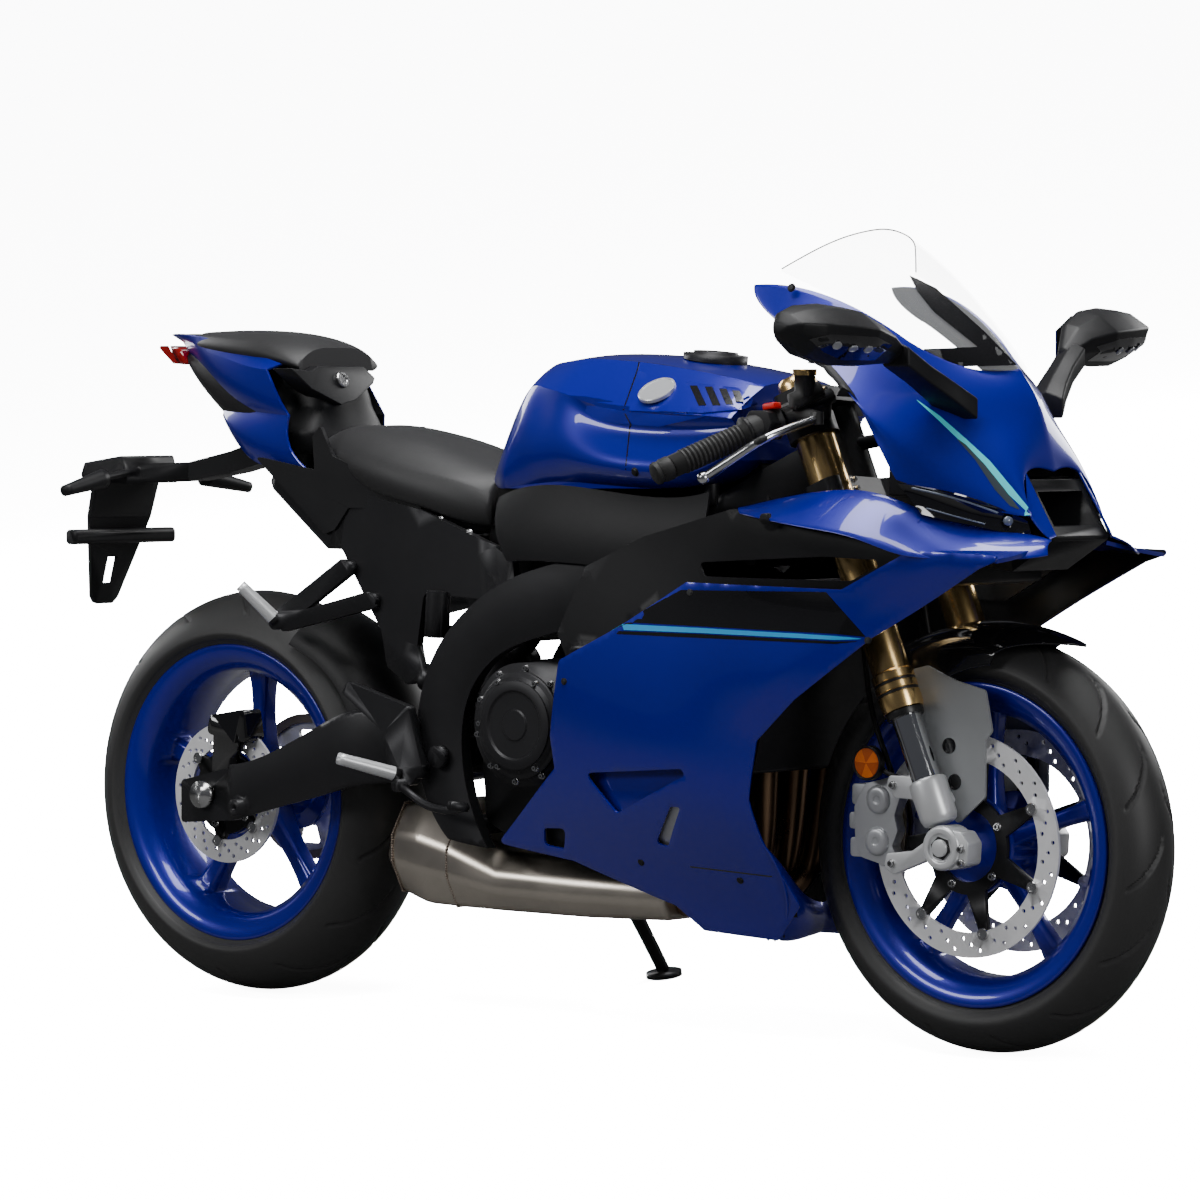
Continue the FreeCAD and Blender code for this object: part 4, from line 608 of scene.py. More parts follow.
def outline_of(node, axle, middle_r):
    """Half the outside of a tyre's section, as distances from the axle and the middle plane."""
    skin = skin_of(NODES[node])
    middle = Vector((axle.x, 0, axle.z + middle_r))
    line = []
    for degrees in range(0, 150, 2):
        turn = math.radians(degrees)
        way = Vector((0, -math.sin(turn), math.cos(turn)))
        spot, _, _, _ = skin.ray_cast(middle + way * 150.0, -way)
        if spot is None or spot.z - axle.z < BEAD_R:
            break
        line.append((spot.y, spot.z - axle.z))
    return line


def tyre_mesh(name, node, axle, middle_r, grooves, reach, sweep):
    """A tyre turned round its axle with grooves pressed into its tread."""
    half = outline_of(node, axle, middle_r)
    line = np.array([(-y, r) for y, r in reversed(half[1:])] + half)
    seg = np.concatenate([[0], np.cumsum(np.linalg.norm(np.diff(line, axis=0), axis=1))])
    count = int(seg[-1] / 2.8)
    at = np.linspace(0, seg[-1], count)
    line = np.stack([np.interp(at, seg, line[:, 0]), np.interp(at, seg, line[:, 1])], axis=1)
    across = at - seg[-1] / 2
    angles = np.arange(TYRE_STEPS) * 2 * math.pi / TYRE_STEPS
    push = np.zeros((count, TYRE_STEPS))
    pitch = 2 * math.pi / grooves
    for side in (-1, 1):
        for row in range(count):
            u = (side * across[row] - reach[0]) / (reach[1] - reach[0])
            if u < -0.02 or u > 1.02:
                continue
            centre = sweep * min(max(u, 0.0), 1.0) ** 0.6 + (pitch / 2 if side > 0 else 0.0)
            gap = (angles - centre + pitch / 2) % pitch - pitch / 2
            tilt = 0.6 * sweep * max(u, 0.05) ** -0.4 / (reach[1] - reach[0])
            far = np.abs(gap) * line[row, 1] / math.sqrt(1 + (tilt * line[row, 1]) ** 2)
            ends = min(1.0, (u + 0.02) * 12, (1.02 - u) * 12)
            push[row] = np.maximum(push[row], np.clip((GROOVE_HALF + 0.6 - far) / 0.9, 0, 1) * max(ends, 0))
    radius = line[:, 1:2] - push * GROOVE_DEEP
    inner = line[::9] * (0.93, 1.0) - np.array([0.0, 9.0])
    inner = np.concatenate([inner, (line[-1:] * (0.93, 1.0) - np.array([0.0, 2.0]))])[::-1]
    ys = np.concatenate([line[:, 0], inner[:, 0]])
    rs = np.concatenate([radius, np.repeat(inner[:, 1:2], TYRE_STEPS, axis=1)])
    total = len(ys)
    places = np.stack([axle.x + rs * np.sin(angles), np.repeat(ys[:, None], TYRE_STEPS, axis=1),
                       axle.z + rs * np.cos(angles)], axis=2)
    faces = []
    for i in range(total):
        n = (i + 1) % total
        for j in range(TYRE_STEPS):
            m = (j + 1) % TYRE_STEPS
            faces.append((i * TYRE_STEPS + j, i * TYRE_STEPS + m, n * TYRE_STEPS + m, n * TYRE_STEPS + j))
    mesh = bpy.data.meshes.new(name)
    mesh.from_pydata(places.reshape(-1, 3).tolist(), [], faces)
    shape = bmesh.new()
    shape.from_mesh(mesh)
    bmesh.ops.recalc_face_normals(shape, faces=shape.faces)
    shape.to_mesh(mesh)
    shape.free()
    return mesh


front_rubber = tyre_mesh("front_tyre_mesh", "front_tyre", FRONT_AXLE, 238.0, 15, (7.0, 62.0), 0.30)
piece("front_wheel_tyre", front_rubber, [tyre_rubber], "front_wheel", ["front_tyre"],
      crease=38)
rear_rubber = tyre_mesh("rear_tyre_mesh", "rear_tyre", REAR_AXLE, 222.0, 14, (9.0, 84.0), 0.34)
piece("rear_wheel_tyre", rear_rubber, [tyre_rubber], "rear_wheel", ["rear_tyre"], crease=38)

# Fork: gold outer tubes with a collar and two grooves, chromed inner tubes, and cast silver feet that hold
# the axle, its pinch screws and the brake calipers. Two clamps join the legs to the stem.
gold = finish_of("gold", (0.96, 0.66, 0.28), 1.0, 0.24, spread=0.08)
chrome = finish_of("chrome", (0.80, 0.81, 0.82), 1.0, 0.05, spread=0.1)
seal_black = finish_of("seal_black", (0.012, 0.012, 0.012), 0.0, 0.35)
RAKE = math.radians(22.6)
LEG_FORWARD = 28.6
LEG_HALF = 107.0
steer_foot_x = FRONT_AXLE.x + FRONT_AXLE.z * math.tan(RAKE) - LEG_FORWARD / math.cos(RAKE)
steer_up = Vector((-math.sin(RAKE), 0, math.cos(RAKE)))
steer_ahead = Vector((math.cos(RAKE), 0, math.sin(RAKE)))


def steer_point(forward, y, along):
    return Vector((steer_foot_x, y, 0)) + steer_ahead * forward + steer_up * along


def inside(point, loop):
    x, y = point
    hit = False
    for (x0, y0), (x1, y1) in zip(loop, loop[1:] + loop[:1]):
        if (y0 > y) != (y1 > y) and x < (x1 - x0) * (y - y0) / (y1 - y0) + x0:
            hit = not hit
    return hit


def soft_loop(points, radius, step):
    """A closed outline with rounded corners and points no further apart than a step."""
    loop = []
    count = len(points)
    for i in range(count):
        before, corner, after = (Vector(points[k % count]) for k in (i - 1, i, i + 1))
        back, ahead = before - corner, after - corner
        half = back.angle(ahead) / 2
        reach = min(radius / math.tan(half), 0.45 * back.length, 0.45 * ahead.length)
        p, q = corner + back.normalized() * reach, corner + ahead.normalized() * reach
        for k in range(5):
            f = k / 4
            loop.append(p * (1 - f) ** 2 + corner * 2 * f * (1 - f) + q * f * f)
    dense = []
    for a, b in zip(loop, loop[1:] + loop[:1]):
        parts = max(1, int((b - a).length / step + 0.5))
        dense += [tuple(a.lerp(b, k / parts)) for k in range(parts)]
    return [p for k, p in enumerate(dense) if (Vector(p) - Vector(dense[k - 1])).length > 1e-3]


def cut_sheet(outline, holes, step, radius):
    """A flat sheet cut to an outline with holes: its points in the drawing plane and its triangles."""
    loops = [soft_loop(loop, radius, step * 0.6) for loop in [outline] + list(holes)]
    points = [p for loop in loops for p in loop]
    edges, start = [], 0
    for loop in loops:
        edges += [(start + i, start + (i + 1) % len(loop)) for i in range(len(loop))]
        start += len(loop)
    border = np.array(points)
    xs, ys = border[:, 0], border[:, 1]
    row = 0
    y = ys.min() + step / 2
    while y < ys.max():
        x = xs.min() + (step / 2 if row % 2 else 0.0)
        while x < xs.max():
            far = np.hypot(xs - x, ys - y).min() > step * 0.55
            if far and inside((x, y), loops[0]) and not any(inside((x, y), hole) for hole in loops[1:]):
                points.append((x, y))
            x += step
        y += step * 0.866
        row += 1
    made, _, faces, *_ = delaunay_2d_cdt([Vector(p) for p in points], edges, [], 0, 1e-5)
    kept = []
    for face in faces:
        centre = tuple(sum((made[i] for i in face), Vector((0, 0))) / len(face))
        if inside(centre, loops[0]) and not any(inside(centre, hole) for hole in loops[1:]):
            kept.append(tuple(face))
    return [tuple(p) for p in made], kept


def slab(name, outline, y0, y1, radius=6.0, holes=()):
    """A plate drawn in side view and given its thickness along Y."""
    points, faces = cut_sheet(outline, holes, 40.0, radius)
    shape = bmesh.new()
    low = [shape.verts.new((x, y0, z)) for x, z in points]
    for face in faces:
        shape.faces.new([low[i] for i in face])
    made = bmesh.ops.extrude_face_region(shape, geom=shape.faces[:])["geom"]
    for v in made:
        if isinstance(v, bmesh.types.BMVert):
            v.co.y = y1
    bmesh.ops.recalc_face_normals(shape, faces=shape.faces)
    bmesh.ops.dissolve_limit(shape, angle_limit=0.01, verts=shape.verts, edges=shape.edges)
    return mesh_from(name, shape)


outers, inners, seals, feet = [], [], [], []
for side in (-1, 1):
    low = steer_point(LEG_FORWARD, side * LEG_HALF, 520)
    outers.append(lathe("outer", [(0, 23), (2, 29.5), (12, 31), (25, 31), (26, 29.6), (30, 29.6), (31, 31),
                                  (40, 31), (41, 29.6), (45, 29.6), (46, 31), (57, 31), (60, 27.8), (320, 29),
                                  (500, 29), (508, 28.2), (512, 25), (512, 18)], low, steer_up, 64))
    seals.append(lathe("seal", [(-9, 22.4), (-9, 26.5), (-6, 27.4), (0.5, 27.4)], low, steer_up, 56))
    for groove in (26.2, 41.2):
        seals.append(lathe("groove", [(groove, 28), (groove, 30.1), (groove + 3.6, 30.1), (groove + 3.6, 28)],
                           low, steer_up, 56))
    inners.append(lathe("inner", [(0, 21.5), (104, 21.5)], steer_point(LEG_FORWARD, side * LEG_HALF, 417),
                        steer_up, 56))
    foot = steer_point(LEG_FORWARD, side * LEG_HALF, 0)
    sleeve = [(350, 20), (352, 24), (360, 27), (408, 28), (414, 27.2), (416, 25), (416, 21)]
    feet.append(lathe("sleeve", sleeve, foot, steer_up, 56))
    hub = FRONT_AXLE + Vector((0, side * 86, 0))
    feet.append(lathe("boss", [(0, 30), (2, 32), (40, 32), (43, 29), (43, 21), (40, 20), (40, 18)], hub,
                      (0, side, 0), 56))
    a, z = FRONT_AXLE.x, FRONT_AXLE.z
    ys = sorted((side * 90, side * 124))
    pinch = [(a, z + 28), (a + 34, z + 24), (a + 46, z + 8), (a + 44, z - 22), (a + 8, z - 33)]
    feet.append(slab("pinch", pinch, *ys, 9))
    arm_ys = sorted((side * 90, side * 106))
    feet.append(slab("upper_arm", [(a - 12, z + 84), (a + 4, z + 62), (a - 96, z + 66), (a - 112, z + 82),
                                   (a - 108, z + 98), (a - 60, z + 98)], *arm_ys, 7))
    feet.append(slab("lower_arm", [(a - 6, z + 30), (a - 16, z - 12), (a - 100, z - 44), (a - 116, z - 34),
                                   (a - 112, z - 14), (a - 66, z - 8)], *arm_ys, 7))
axle_line = lathe("axle", [(-132, 12.5), (132, 12.5)], FRONT_AXLE, (0, 1, 0), 40)
spacers = [lathe("spacer", [(57.5, 13), (57.5, 17), (88, 17), (88, 13)], FRONT_AXLE, (0, side, 0), 40)
           for side in (-1, 1)]
piece("gold_fork_tubes", joined("outers", outers), [gold], "steering", ["fork_outer_tubes"],
      crease=40)
piece("chromed_fork_tubes", joined("inners", inners), [chrome], "steering",
      ["fork_inner_tubes"])
piece("fork_seals", joined("seals", seals), [seal_black], "steering", crease=40)
piece("cast_fork_feet", joined("feet", feet + [axle_line] + spacers), [cast_silver], "steering",
      ["fork_feet"], edge=2.5, edge_angle=40, cuts=3, crease=45)
hexes = [lathe("axle_hex", [(0, 17), (1.5, 17), (1.5, 11.5), (-5, 11.0), (-5, 0.5)],
               FRONT_AXLE + Vector((0, side * 126.2, 0)), (0, side, 0), 6) for side in (-1, 1)]
piece("axle_hex_sockets", joined("hexes", hexes), [engine_black], "steering", crease=20)
leg_screws = []
for side in (-1, 1):
    for dx, dz in ((32, -14), (32, 6)):
        leg_screws.append((FRONT_AXLE + Vector((dx + 2, side * 124, dz - 6)), Vector((0, side, 0))))
    for dx, dz in ((-100, 84), (-102, -28)):
        leg_screws.append((FRONT_AXLE + Vector((dx, side * 106, dz)), Vector((0, side, 0))))
screws("fork_foot_screws", leg_screws, 6.5, 6, bright_steel, socket_painted_shade, "steering")
dressed("triple_clamps", "fork_clamps", frame_black)
clamp_screws = [(steer_point(LEG_FORWARD + 30, side * 92, s), steer_ahead)
                for side in (-1, 1) for s in (849, 863, 1003)]
screws("clamp_screws", clamp_screws, 5.5, 6, bright_steel, socket_painted_shade, "steering")

# Front brakes: one cast grey caliper, open over the disc, screwed to the arms of each foot. Round caps
# close its piston bores, and a steel-backed pad lies on each side of the disc.
caliper_grey = finish_of("caliper_grey", (0.50, 0.51, 0.53), 0.5, 0.36, bump=0.0001)
for side, word in ((-1, "right"), (1, "left")):
    outer_ys = sorted((side * 70, side * 90))
    inner_ys = sorted((side * 40, side * 54))
    bridge_ys = sorted((side * 42, side * 88))
    blocks = [slab("outer_half", [(548, 384), (596, 396), (612, 372), (600, 340), (606, 318), (596, 296),
                                  (606, 278), (590, 266), (540, 278), (530, 304), (528, 350)], *outer_ys, 9),
              slab("inner_half", [(548, 380), (596, 392), (610, 370), (598, 330), (604, 278), (588, 268),
                                  (540, 282), (532, 330)], *inner_ys, 9)]
    for x, z, wide in ((538, 368, 30), (530, 330, 24), (534, 292, 28)):
        blocks.append(slab("bridge", [(x - wide / 2, z - wide / 2), (x + wide / 2, z - wide / 2),
                                      (x + wide / 2, z + wide / 2), (x - wide / 2, z + wide / 2)], *bridge_ys,
                           6))
    for x, z in ((572, 362), (570, 302)):
        blocks.append(lathe("cap", [(0, 21), (4, 20.5), (6.5, 18), (7.5, 14), (7.5, 6), (6.6, 5), (6.6, 0.4)],
                            (x, side * 88, z), (0, side, 0), 40))
    piece("front_caliper_" + word, joined("caliper", blocks), [caliper_grey], "steering",
          ["front_calipers"] if side < 0 else (), edge=2.2, edge_angle=40, cuts=3, crease=45)
PAD = [(560, 376), (600, 372), (608, 330), (602, 284), (566, 286)]
pads = [slab("pad", PAD, *sorted((side * a, side * b)), 5)
        for side in (-1, 1) for a, b in ((54.2, 59.2), (65.2, 69.8))]
piece("brake_pads", joined("pads", pads), [chain_steel], "steering")

# Reflectors: a round amber lens, pressed into a black plastic ring on each side, with six facets painted
# alternately in amber and in a darker amber of painted shade. A thin bent bracket holds each ring to the
# fork leg.
orange_lens = finish_of("orange_lens", (0.80, 0.17, 0.012), 0.0, 0.16, spread=0.05, Coat_Weight=1.0)
amber_painted_shade = finish_of("amber_painted_shade", (0.50, 0.09, 0.008), 0.0, 0.2, spread=0.05, Coat_Weight=1.0)
REFLECTOR_X = 566
REFLECTOR_Z = 415
lenses, rings = [], []
for side in (-1, 1):
    at = Vector((REFLECTOR_X, side * 100, REFLECTOR_Z))
    rings.append(lathe("ring", [(0, 22), (0, 25), (11, 25), (12.4, 23.6), (11, 21.8), (8, 21.8)], at,
                       (0, side, 0), 48, ring=True))
    rings.append(lathe("cup", [(1, 22.2), (8, 22.2)], at, (0, side, 0), 48))
    rings.append(bent_tube("bracket", [(REFLECTOR_X, side * 101, REFLECTOR_Z), (590, side * 101, 404),
                                       (622, side * 99, 392), (650, side * 96, 396)], 8))
    lenses.append(lathe("lens", [(8, 21.6), (10.5, 21.2), (12.0, 0.3)], at, (0, side, 0), 36))
piece("reflector_rings", joined("rings", rings), [black_plastic], "steering", crease=40)
lens_piece = piece("round_reflectors", joined("lenses", lenses), [orange_lens], "steering",
                   ["front_reflectors"], crease=15)
# Every other facet is painted darker: painted shade for facets that catch less light.
painted(lens_piece, [amber_painted_shade],
        lambda at, facing: int(math.degrees(math.atan2(at.z - REFLECTOR_Z, at.x - REFLECTOR_X)) // 60 % 2))

# Front fender: a gloss black shell over the tyre with a skirt in front of the fork, fastened to the legs
# by a grey moulded plate on each side with two dark screw wells.
grey_plastic = finish_of("grey_plastic", (0.29, 0.30, 0.31), 0.1, 0.42, bump=0.00008, grain=1400.0)


def through(points, at, wanted):
    """A smooth cubic line through points that lie at the parameters at, read at the wanted parameters."""
    p, t, w = np.asarray(points, float), np.asarray(at, float), np.asarray(wanted, float)
    n = len(t)
    spread = (-1,) + (1,) * (p.ndim - 1)
    if n == 2:
        return p[0] + ((w - t[0]) / (t[1] - t[0])).reshape(spread) * (p[1] - p[0])

    def slope(ids, x):
        total = 0.0
        for i in ids:
            others = [j for j in ids if j != i]
            below = np.prod([t[i] - t[j] for j in others])
            above = sum(np.prod([x - t[k] for k in others if k != j]) for j in others)
            total = total + p[i] * above / below
        return total

    k = min(4, n)
    h = np.diff(t)
    left, right = np.zeros((n, n)), np.zeros_like(p)
    left[0, 0] = left[-1, -1] = 1.0
    right[0], right[-1] = slope(range(k), t[0]), slope(range(n - k, n), t[-1])
    for i in range(1, n - 1):
        left[i, i - 1], left[i, i], left[i, i + 1] = h[i], 2 * (h[i - 1] + h[i]), h[i - 1]
        right[i] = 3 * (h[i] * (p[i] - p[i - 1]) / h[i - 1] + h[i - 1] * (p[i + 1] - p[i]) / h[i])
    m = np.linalg.solve(left, right.reshape(n, -1)).reshape(p.shape)
    seg = np.clip(np.searchsorted(t, w, side="right") - 1, 0, n - 2)
    f = ((w - t[seg]) / h[seg]).reshape(spread)
    d = h[seg].reshape(spread)
    return ((2 * f ** 3 - 3 * f ** 2 + 1) * p[seg] + (f ** 3 - 2 * f ** 2 + f) * d * m[seg]
            + (3 * f ** 2 - 2 * f ** 3) * p[seg + 1] + (f ** 3 - f ** 2) * d * m[seg + 1])


def shares(lines):
    """Parameters from the mean distance between neighbouring lines of points."""
    steps = [np.linalg.norm(b - a, axis=-1).mean() for a, b in zip(lines, lines[1:])]
    return np.concatenate([[0.0], np.cumsum(steps)]) / sum(steps)


def smooth_net(net, step, creases=()):
    """A close grid of points over a coarse net, smooth but for the rows named in creases."""
    net = np.asarray(net, float)
    vs = shares(net.transpose(1, 0, 2))
    width = max(np.linalg.norm(np.diff(row, axis=0), axis=1).sum() for row in net)
    across = np.linspace(0, 1, max(2, int(width / step)) + 1)
    rows = np.stack([through(row, vs, across) for row in net])
    cuts = [0] + list(creases) + [len(net) - 1]
    pieces = []
    for a, b in zip(cuts, cuts[1:]):
        us = shares(net[a:b + 1])
        tall = np.linalg.norm(np.diff(net[a:b + 1], axis=0), axis=2).sum(axis=0).max()
        down = np.linspace(0, 1, max(2, int(tall / step)) + 1)
        pieces.append(through(rows[a:b + 1], us, down)[(1 if pieces else 0):])
    return np.concatenate(pieces)


def grid_mesh(name, grid, flip=False):
    """A sheet of quads through a grid of points, in the bike's millimetres."""
    rows, cols = grid.shape[:2]
    faces = []
    for i in range(rows - 1):
        for j in range(cols - 1):
            a, b, c, d = i * cols + j, i * cols + j + 1, (i + 1) * cols + j + 1, (i + 1) * cols + j
            faces.append((a, d, c, b) if flip else (a, b, c, d))
    mesh = bpy.data.meshes.new(name)
    mesh.from_pydata(grid.reshape(-1, 3).tolist(), [], faces)
    return mesh


FENDER_R = 314.0
fender_net = []
for y, fronts in ((-73.5, (52, 62, 74, 86, 92, 92)), (-71.5, (38, 40, 46, 52, 56, 58)),
                  (-60, (22, 20, 20, 20, 20, 20)), (-36, (8, 7, 6, 6, 6, 6)), (0, (0, 0, 0, 0, 0, 0))):
    line = []
    first = 60.5 + 19.0 * (abs(y) / 73.5) ** 1.5
    for share, drop in zip((0, 0.18, 0.4, 0.6, 0.8, 1), fronts):
        turn = math.radians(first + (122.0 - first) * share)
        r = FENDER_R - drop + 12 * (1 - share) ** 3 * (1 - abs(y) / 80)
        line.append((FRONT_AXLE.x + r * math.cos(turn), y, FRONT_AXLE.z + r * math.sin(turn)))
    fender_net.append(line)
fender_mesh = joined("fender", [grid_mesh("fender", smooth_net(fender_net, 6.0, creases=(1,)))], mirror=True)
piece("fender_shell", fender_mesh, [black_gloss], "steering", ["front_fender"], wall=3.0,
      edge=1.0, edge_angle=40, cuts=2)
PLATE_HOLES = ((689, 443), (699, 392))
PLATE = [(604, 545), (650, 556), (700, 536), (752, 524), (764, 466), (752, 452), (752, 372), (704, 332),
         (672, 368)]
plates, wells = [], []
for side in (-1, 1):
    plates.append(slab("plate", PLATE, *sorted((side * 74.5, side * 78.5)), 7,
                       holes=[[(x + 11 * math.cos(0.4 * k), z + 11 * math.sin(0.4 * k)) for k in range(16)]
                              for x, z in PLATE_HOLES]))
    for x, z in PLATE_HOLES:
        well = [(0, 11.4), (1.6, 11.4), (1.6, 9.6), (-4, 8.4), (-4, 5), (-2, 4.6), (-2, 0.4)]
        wells.append(lathe("well", well, (x, side * 77.6, z), (0, side, 0), 32))
piece("fender_plates", joined("plates", plates), [grey_plastic], "steering",
      ["fender_side_plates"], edge=1.2, edge_angle=40, cuts=2, crease=40)
piece("fender_plate_wells", joined("wells", wells), [black_gloss], "steering", crease=40)
dressed("brake_hoses", "brake_lines", black_plastic)

# Handlebar controls: ribbed rubber grips with metal end weights, on short bars clamped to the fork legs.
# Each side has a black plastic switch box and a polished lever, and the fluid cup has a gold cap.
grip_rubber = finish_of("grip_rubber", (0.010, 0.010, 0.010), 0.0, 0.62, bump=0.0001)
dressed("clip_on_bars", "clip_on_clamps", frame_black)
dressed("bar_controls", "grips_and_levers", grip_rubber)
lever_silver = finish_of("lever_silver", (0.72, 0.72, 0.73), 1.0, 0.22, spread=0.1)
switch_red = finish_of("switch_red", (0.60, 0.008, 0.006), 0.0, 0.35)
BAR_END = (372, 350, 829)
BAR_GRIP = (440, 225, 887)
BAR_ROOT = (501, 113, 939)
levers, switch_boxes, grip_ribs = [], [], []
for side in (-1, 1):
    end, start, root = (Vector((x, side * y, z)) for x, y, z in (BAR_END, BAR_GRIP, BAR_ROOT))
    along = (end - root).normalized()
    mount = start - along * 71
    pivot = mount + Vector((48, 0, -6))
    levers.append(bent_tube("lever", [pivot, pivot + Vector((-4, side * 50, -12)),
                                      pivot + Vector((-22, side * 100, -30)),
                                      pivot + Vector((-60, side * 114, -56)),
                                      pivot + Vector((-104, side * 128, -84))], 12.6))
    tip = bmesh.new()
    bmesh.ops.create_uvsphere(tip, u_segments=24, v_segments=14, radius=9.4,
                              matrix=Matrix.Translation(pivot + Vector((-104, side * 128, -84))))
    levers.append(mesh_from("lever_ball", tip))
    x, y, z = start - along * 26
    switch_boxes.append(slab("switch_box", [(x - 19, z - 19), (x - 21, z + 10), (x - 12, z + 22),
                                            (x + 20, z + 22), (x + 27, z + 4), (x + 18, z - 20)],
                             *sorted((y - side * 20, y + side * 17)), 8))
    switch_boxes.append(lathe("flange", [(0, 20), (1, 24), (6, 25), (8, 23), (8, 19)], start - along * 3,
                              along, 48))
    rib = [(0, 17.2), (0.5, 18.0), (3.3, 18.0), (3.8, 17.2)]
    grip_ribs += [lathe("rib", rib, start + along * at, along, 40) for at in range(14, 112, 7)]
    grip_ribs.append(lathe("end_weight", [(0, 14), (2, 17.4), (14, 17.4), (16, 15.4), (20, 15.4), (22, 17),
                                          (27, 16), (29, 12), (29, 0.5)], end - along * 26, along, 40))
piece("brake_and_clutch_levers", joined("levers", levers), [lever_silver], "steering",
      crease=50)
piece("switch_boxes", joined("switch_boxes", switch_boxes), [black_plastic], "steering",
      edge=2.5, edge_angle=40, cuts=3, crease=45)
piece("grip_ribs", joined("grip_ribs", grip_ribs), [grip_rubber], "steering",
      crease=45)
stop_switch = slab("stop_switch", [(0, 0), (0, 9), (20, 12), (22, 3)], -9, 9, 2.5)
grip_right = Vector((BAR_GRIP[0], -BAR_GRIP[1], BAR_GRIP[2]))
stop_switch.transform(Matrix.Translation(grip_right + Vector((14, 24, 32))))
piece("stop_switch", stop_switch, [switch_red], "steering", edge=1.5, edge_angle=40,
      crease=45)
cup = grip_right - Vector((-129, -237, -110)).normalized() * 71 + Vector((26, 0, 25))
piece("fluid_cup_cap", lathe("cap", [(0, 16.8), (8, 17.4), (9, 16.4), (9, 11), (7.6, 10), (7.6, 0.5)],
                             cup + Vector((0, 0, 30)), (0, 0, 1), 48), [gold], "steering",
      crease=40)

# Side fairings: injection-moulded plastic panels, painted gloss blue outside and black inside, one each
# side, cut to their outline, with three vents. They are screwed to the stays and the nose.
PANEL_T = 3.5
FAIR_X = (-95, 60, 200, 330, 440, 560, 690, 868)
FAIRING = ((150, (118, 124, 122, 112, 100, 92, 84, 78)), (250, (152, 160, 165, 160, 150, 140, 130, 120)),
           (350, (170, 196, 208, 208, 196, 184, 170, 160)), (450, (182, 214, 226, 226, 212, 198, 184, 176)),
           (550, (190, 222, 231, 232, 226, 208, 196, 190)), (650, (198, 220, 227, 230, 228, 212, 198, 197)),
           (722, (200, 216, 222, 230, 236, 224, 209, 205)), (800, (200, 214, 222, 232, 232, 208, 166, 120)))
OUTLINE = [(-86, 272), (65, 253), (240, 195), (279, 159), (404, 150), (456, 204), (428, 300), (422, 360),
           (444, 446), (512, 507), (641, 598), (832, 700), (864, 711), (864, 719), (712, 723), (698, 714),
           (598, 666), (334, 672), (207, 604), (90, 552), (63, 440), (66, 392)]
VENTS = [[(128, 388), (318, 402), (322, 392), (180, 330)], [(20, 300), (66, 302), (52, 270), (12, 274)],
         [(286, 345), (306, 346), (262, 285), (240, 288)]]
blue_gloss = finish_of("blue_gloss", (0.003, 0.005, 0.32), 0.3, 0.3, spread=0.05, Coat_Weight=1.0,
                       Coat_Roughness=0.03)
FINE_ROWS = 161
FINE_COLS = 201
fair_net = np.array([[(x, -y, z) for x, y in zip(FAIR_X, ys)] for z, ys in FAIRING], float)
fair_rows, fair_cols = shares(fair_net), shares(fair_net.transpose(1, 0, 2))
fair_fine = through(fair_net, fair_rows, np.linspace(0, 1, FINE_ROWS))
fair_fine = through(fair_fine.transpose(1, 0, 2), fair_cols, np.linspace(0, 1, FINE_COLS)).transpose(1, 0, 2)


def fair_y(x, z):
    """How far out the fairing's surface lies at a place in side view."""
    row = np.interp(z, fair_fine[:, 0, 2], np.arange(FINE_ROWS))
    col = np.interp(x, fair_fine[0, :, 0], np.arange(FINE_COLS))
    i, j = min(int(row), FINE_ROWS - 2), min(int(col), FINE_COLS - 2)
    f, g = row - i, col - j
    cell = fair_fine[i:i + 2, j:j + 2, 1]
    along = cell[:, 0] * (1 - g) + cell[:, 1] * g
    return float(along[0] * (1 - f) + along[1] * f)


FRONT_EDGE = OUTLINE[5:12]
EDGE_BAND = 42.0
EDGE_TURN = 4.0


def edge_push(x, z):
    """How far the band along the front edge is turned in, towards the wheel."""
    far = math.inf
    for (x0, z0), (x1, z1) in zip(FRONT_EDGE, FRONT_EDGE[1:]):
        wide, tall = x1 - x0, z1 - z0
        f = min(1.0, max(0.0, ((x - x0) * wide + (z - z0) * tall) / (wide * wide + tall * tall)))
        far = min(far, math.hypot(x - x0 - f * wide, z - z0 - f * tall))
    return EDGE_TURN * max(0.0, 1.0 - far / EDGE_BAND)


def on_fairing(x, z, out=PANEL_T):
    return (x, fair_y(x, z) - out + edge_push(x, z), z)


def lifted(name, points, faces, lift, outwards):
    """The sheet bent onto a surface: lift turns a drawing point into a place, and it faces outwards."""
    mesh = bpy.data.meshes.new(name)
    mesh.from_pydata([tuple(lift(*p)) for p in points], [], faces)
    mesh.update()
    facing = sum((Vector(f.normal) * f.area for f in mesh.polygons), Vector()).dot(Vector(outwards))
    if facing < 0:
        mesh.flip_normals()
    return mesh


def mirrored_copy(mesh, name):
    other = mesh.copy()
    other.name = name
    other.transform(Matrix.Diagonal((1, -1, 1, 1)))
    other.flip_normals()
    return other


fair_points, fair_faces = cut_sheet(OUTLINE, VENTS, 9.0, 8.0)
right_sheet = lifted("fairing", fair_points, fair_faces, on_fairing, (0, -1, 0))
left_sheet = mirrored_copy(right_sheet, "fairing_left")
fairing_panels = [piece(word + "_fairing_panel", side_sheet, [blue_gloss, black_plastic], "chassis",
                        ["side_fairing_" + word], wall=PANEL_T, edge=1.0, edge_angle=50)
                  for word, side_sheet in (("right", right_sheet), ("left", left_sheet))]
fairing = fairing_panels[0]
dressed("inner_panels", "black_inner_panels", black_plastic)


def behind(name, outline, material, depth, slope=0.0, level=0.0):
    """A plate behind an opening of the fairing, which may lie deeper above a level."""
    points, faces = cut_sheet(outline, (), 8.0, 5.0)
    right = lifted(name, points, faces, lambda x, z: on_fairing(x, z, -depth - slope * max(0.0, z - level)),
                   (0, -1, 0))
    piece(name, joined(name, [right, mirrored_copy(right, name)]), [material], "chassis", wall=2.0)


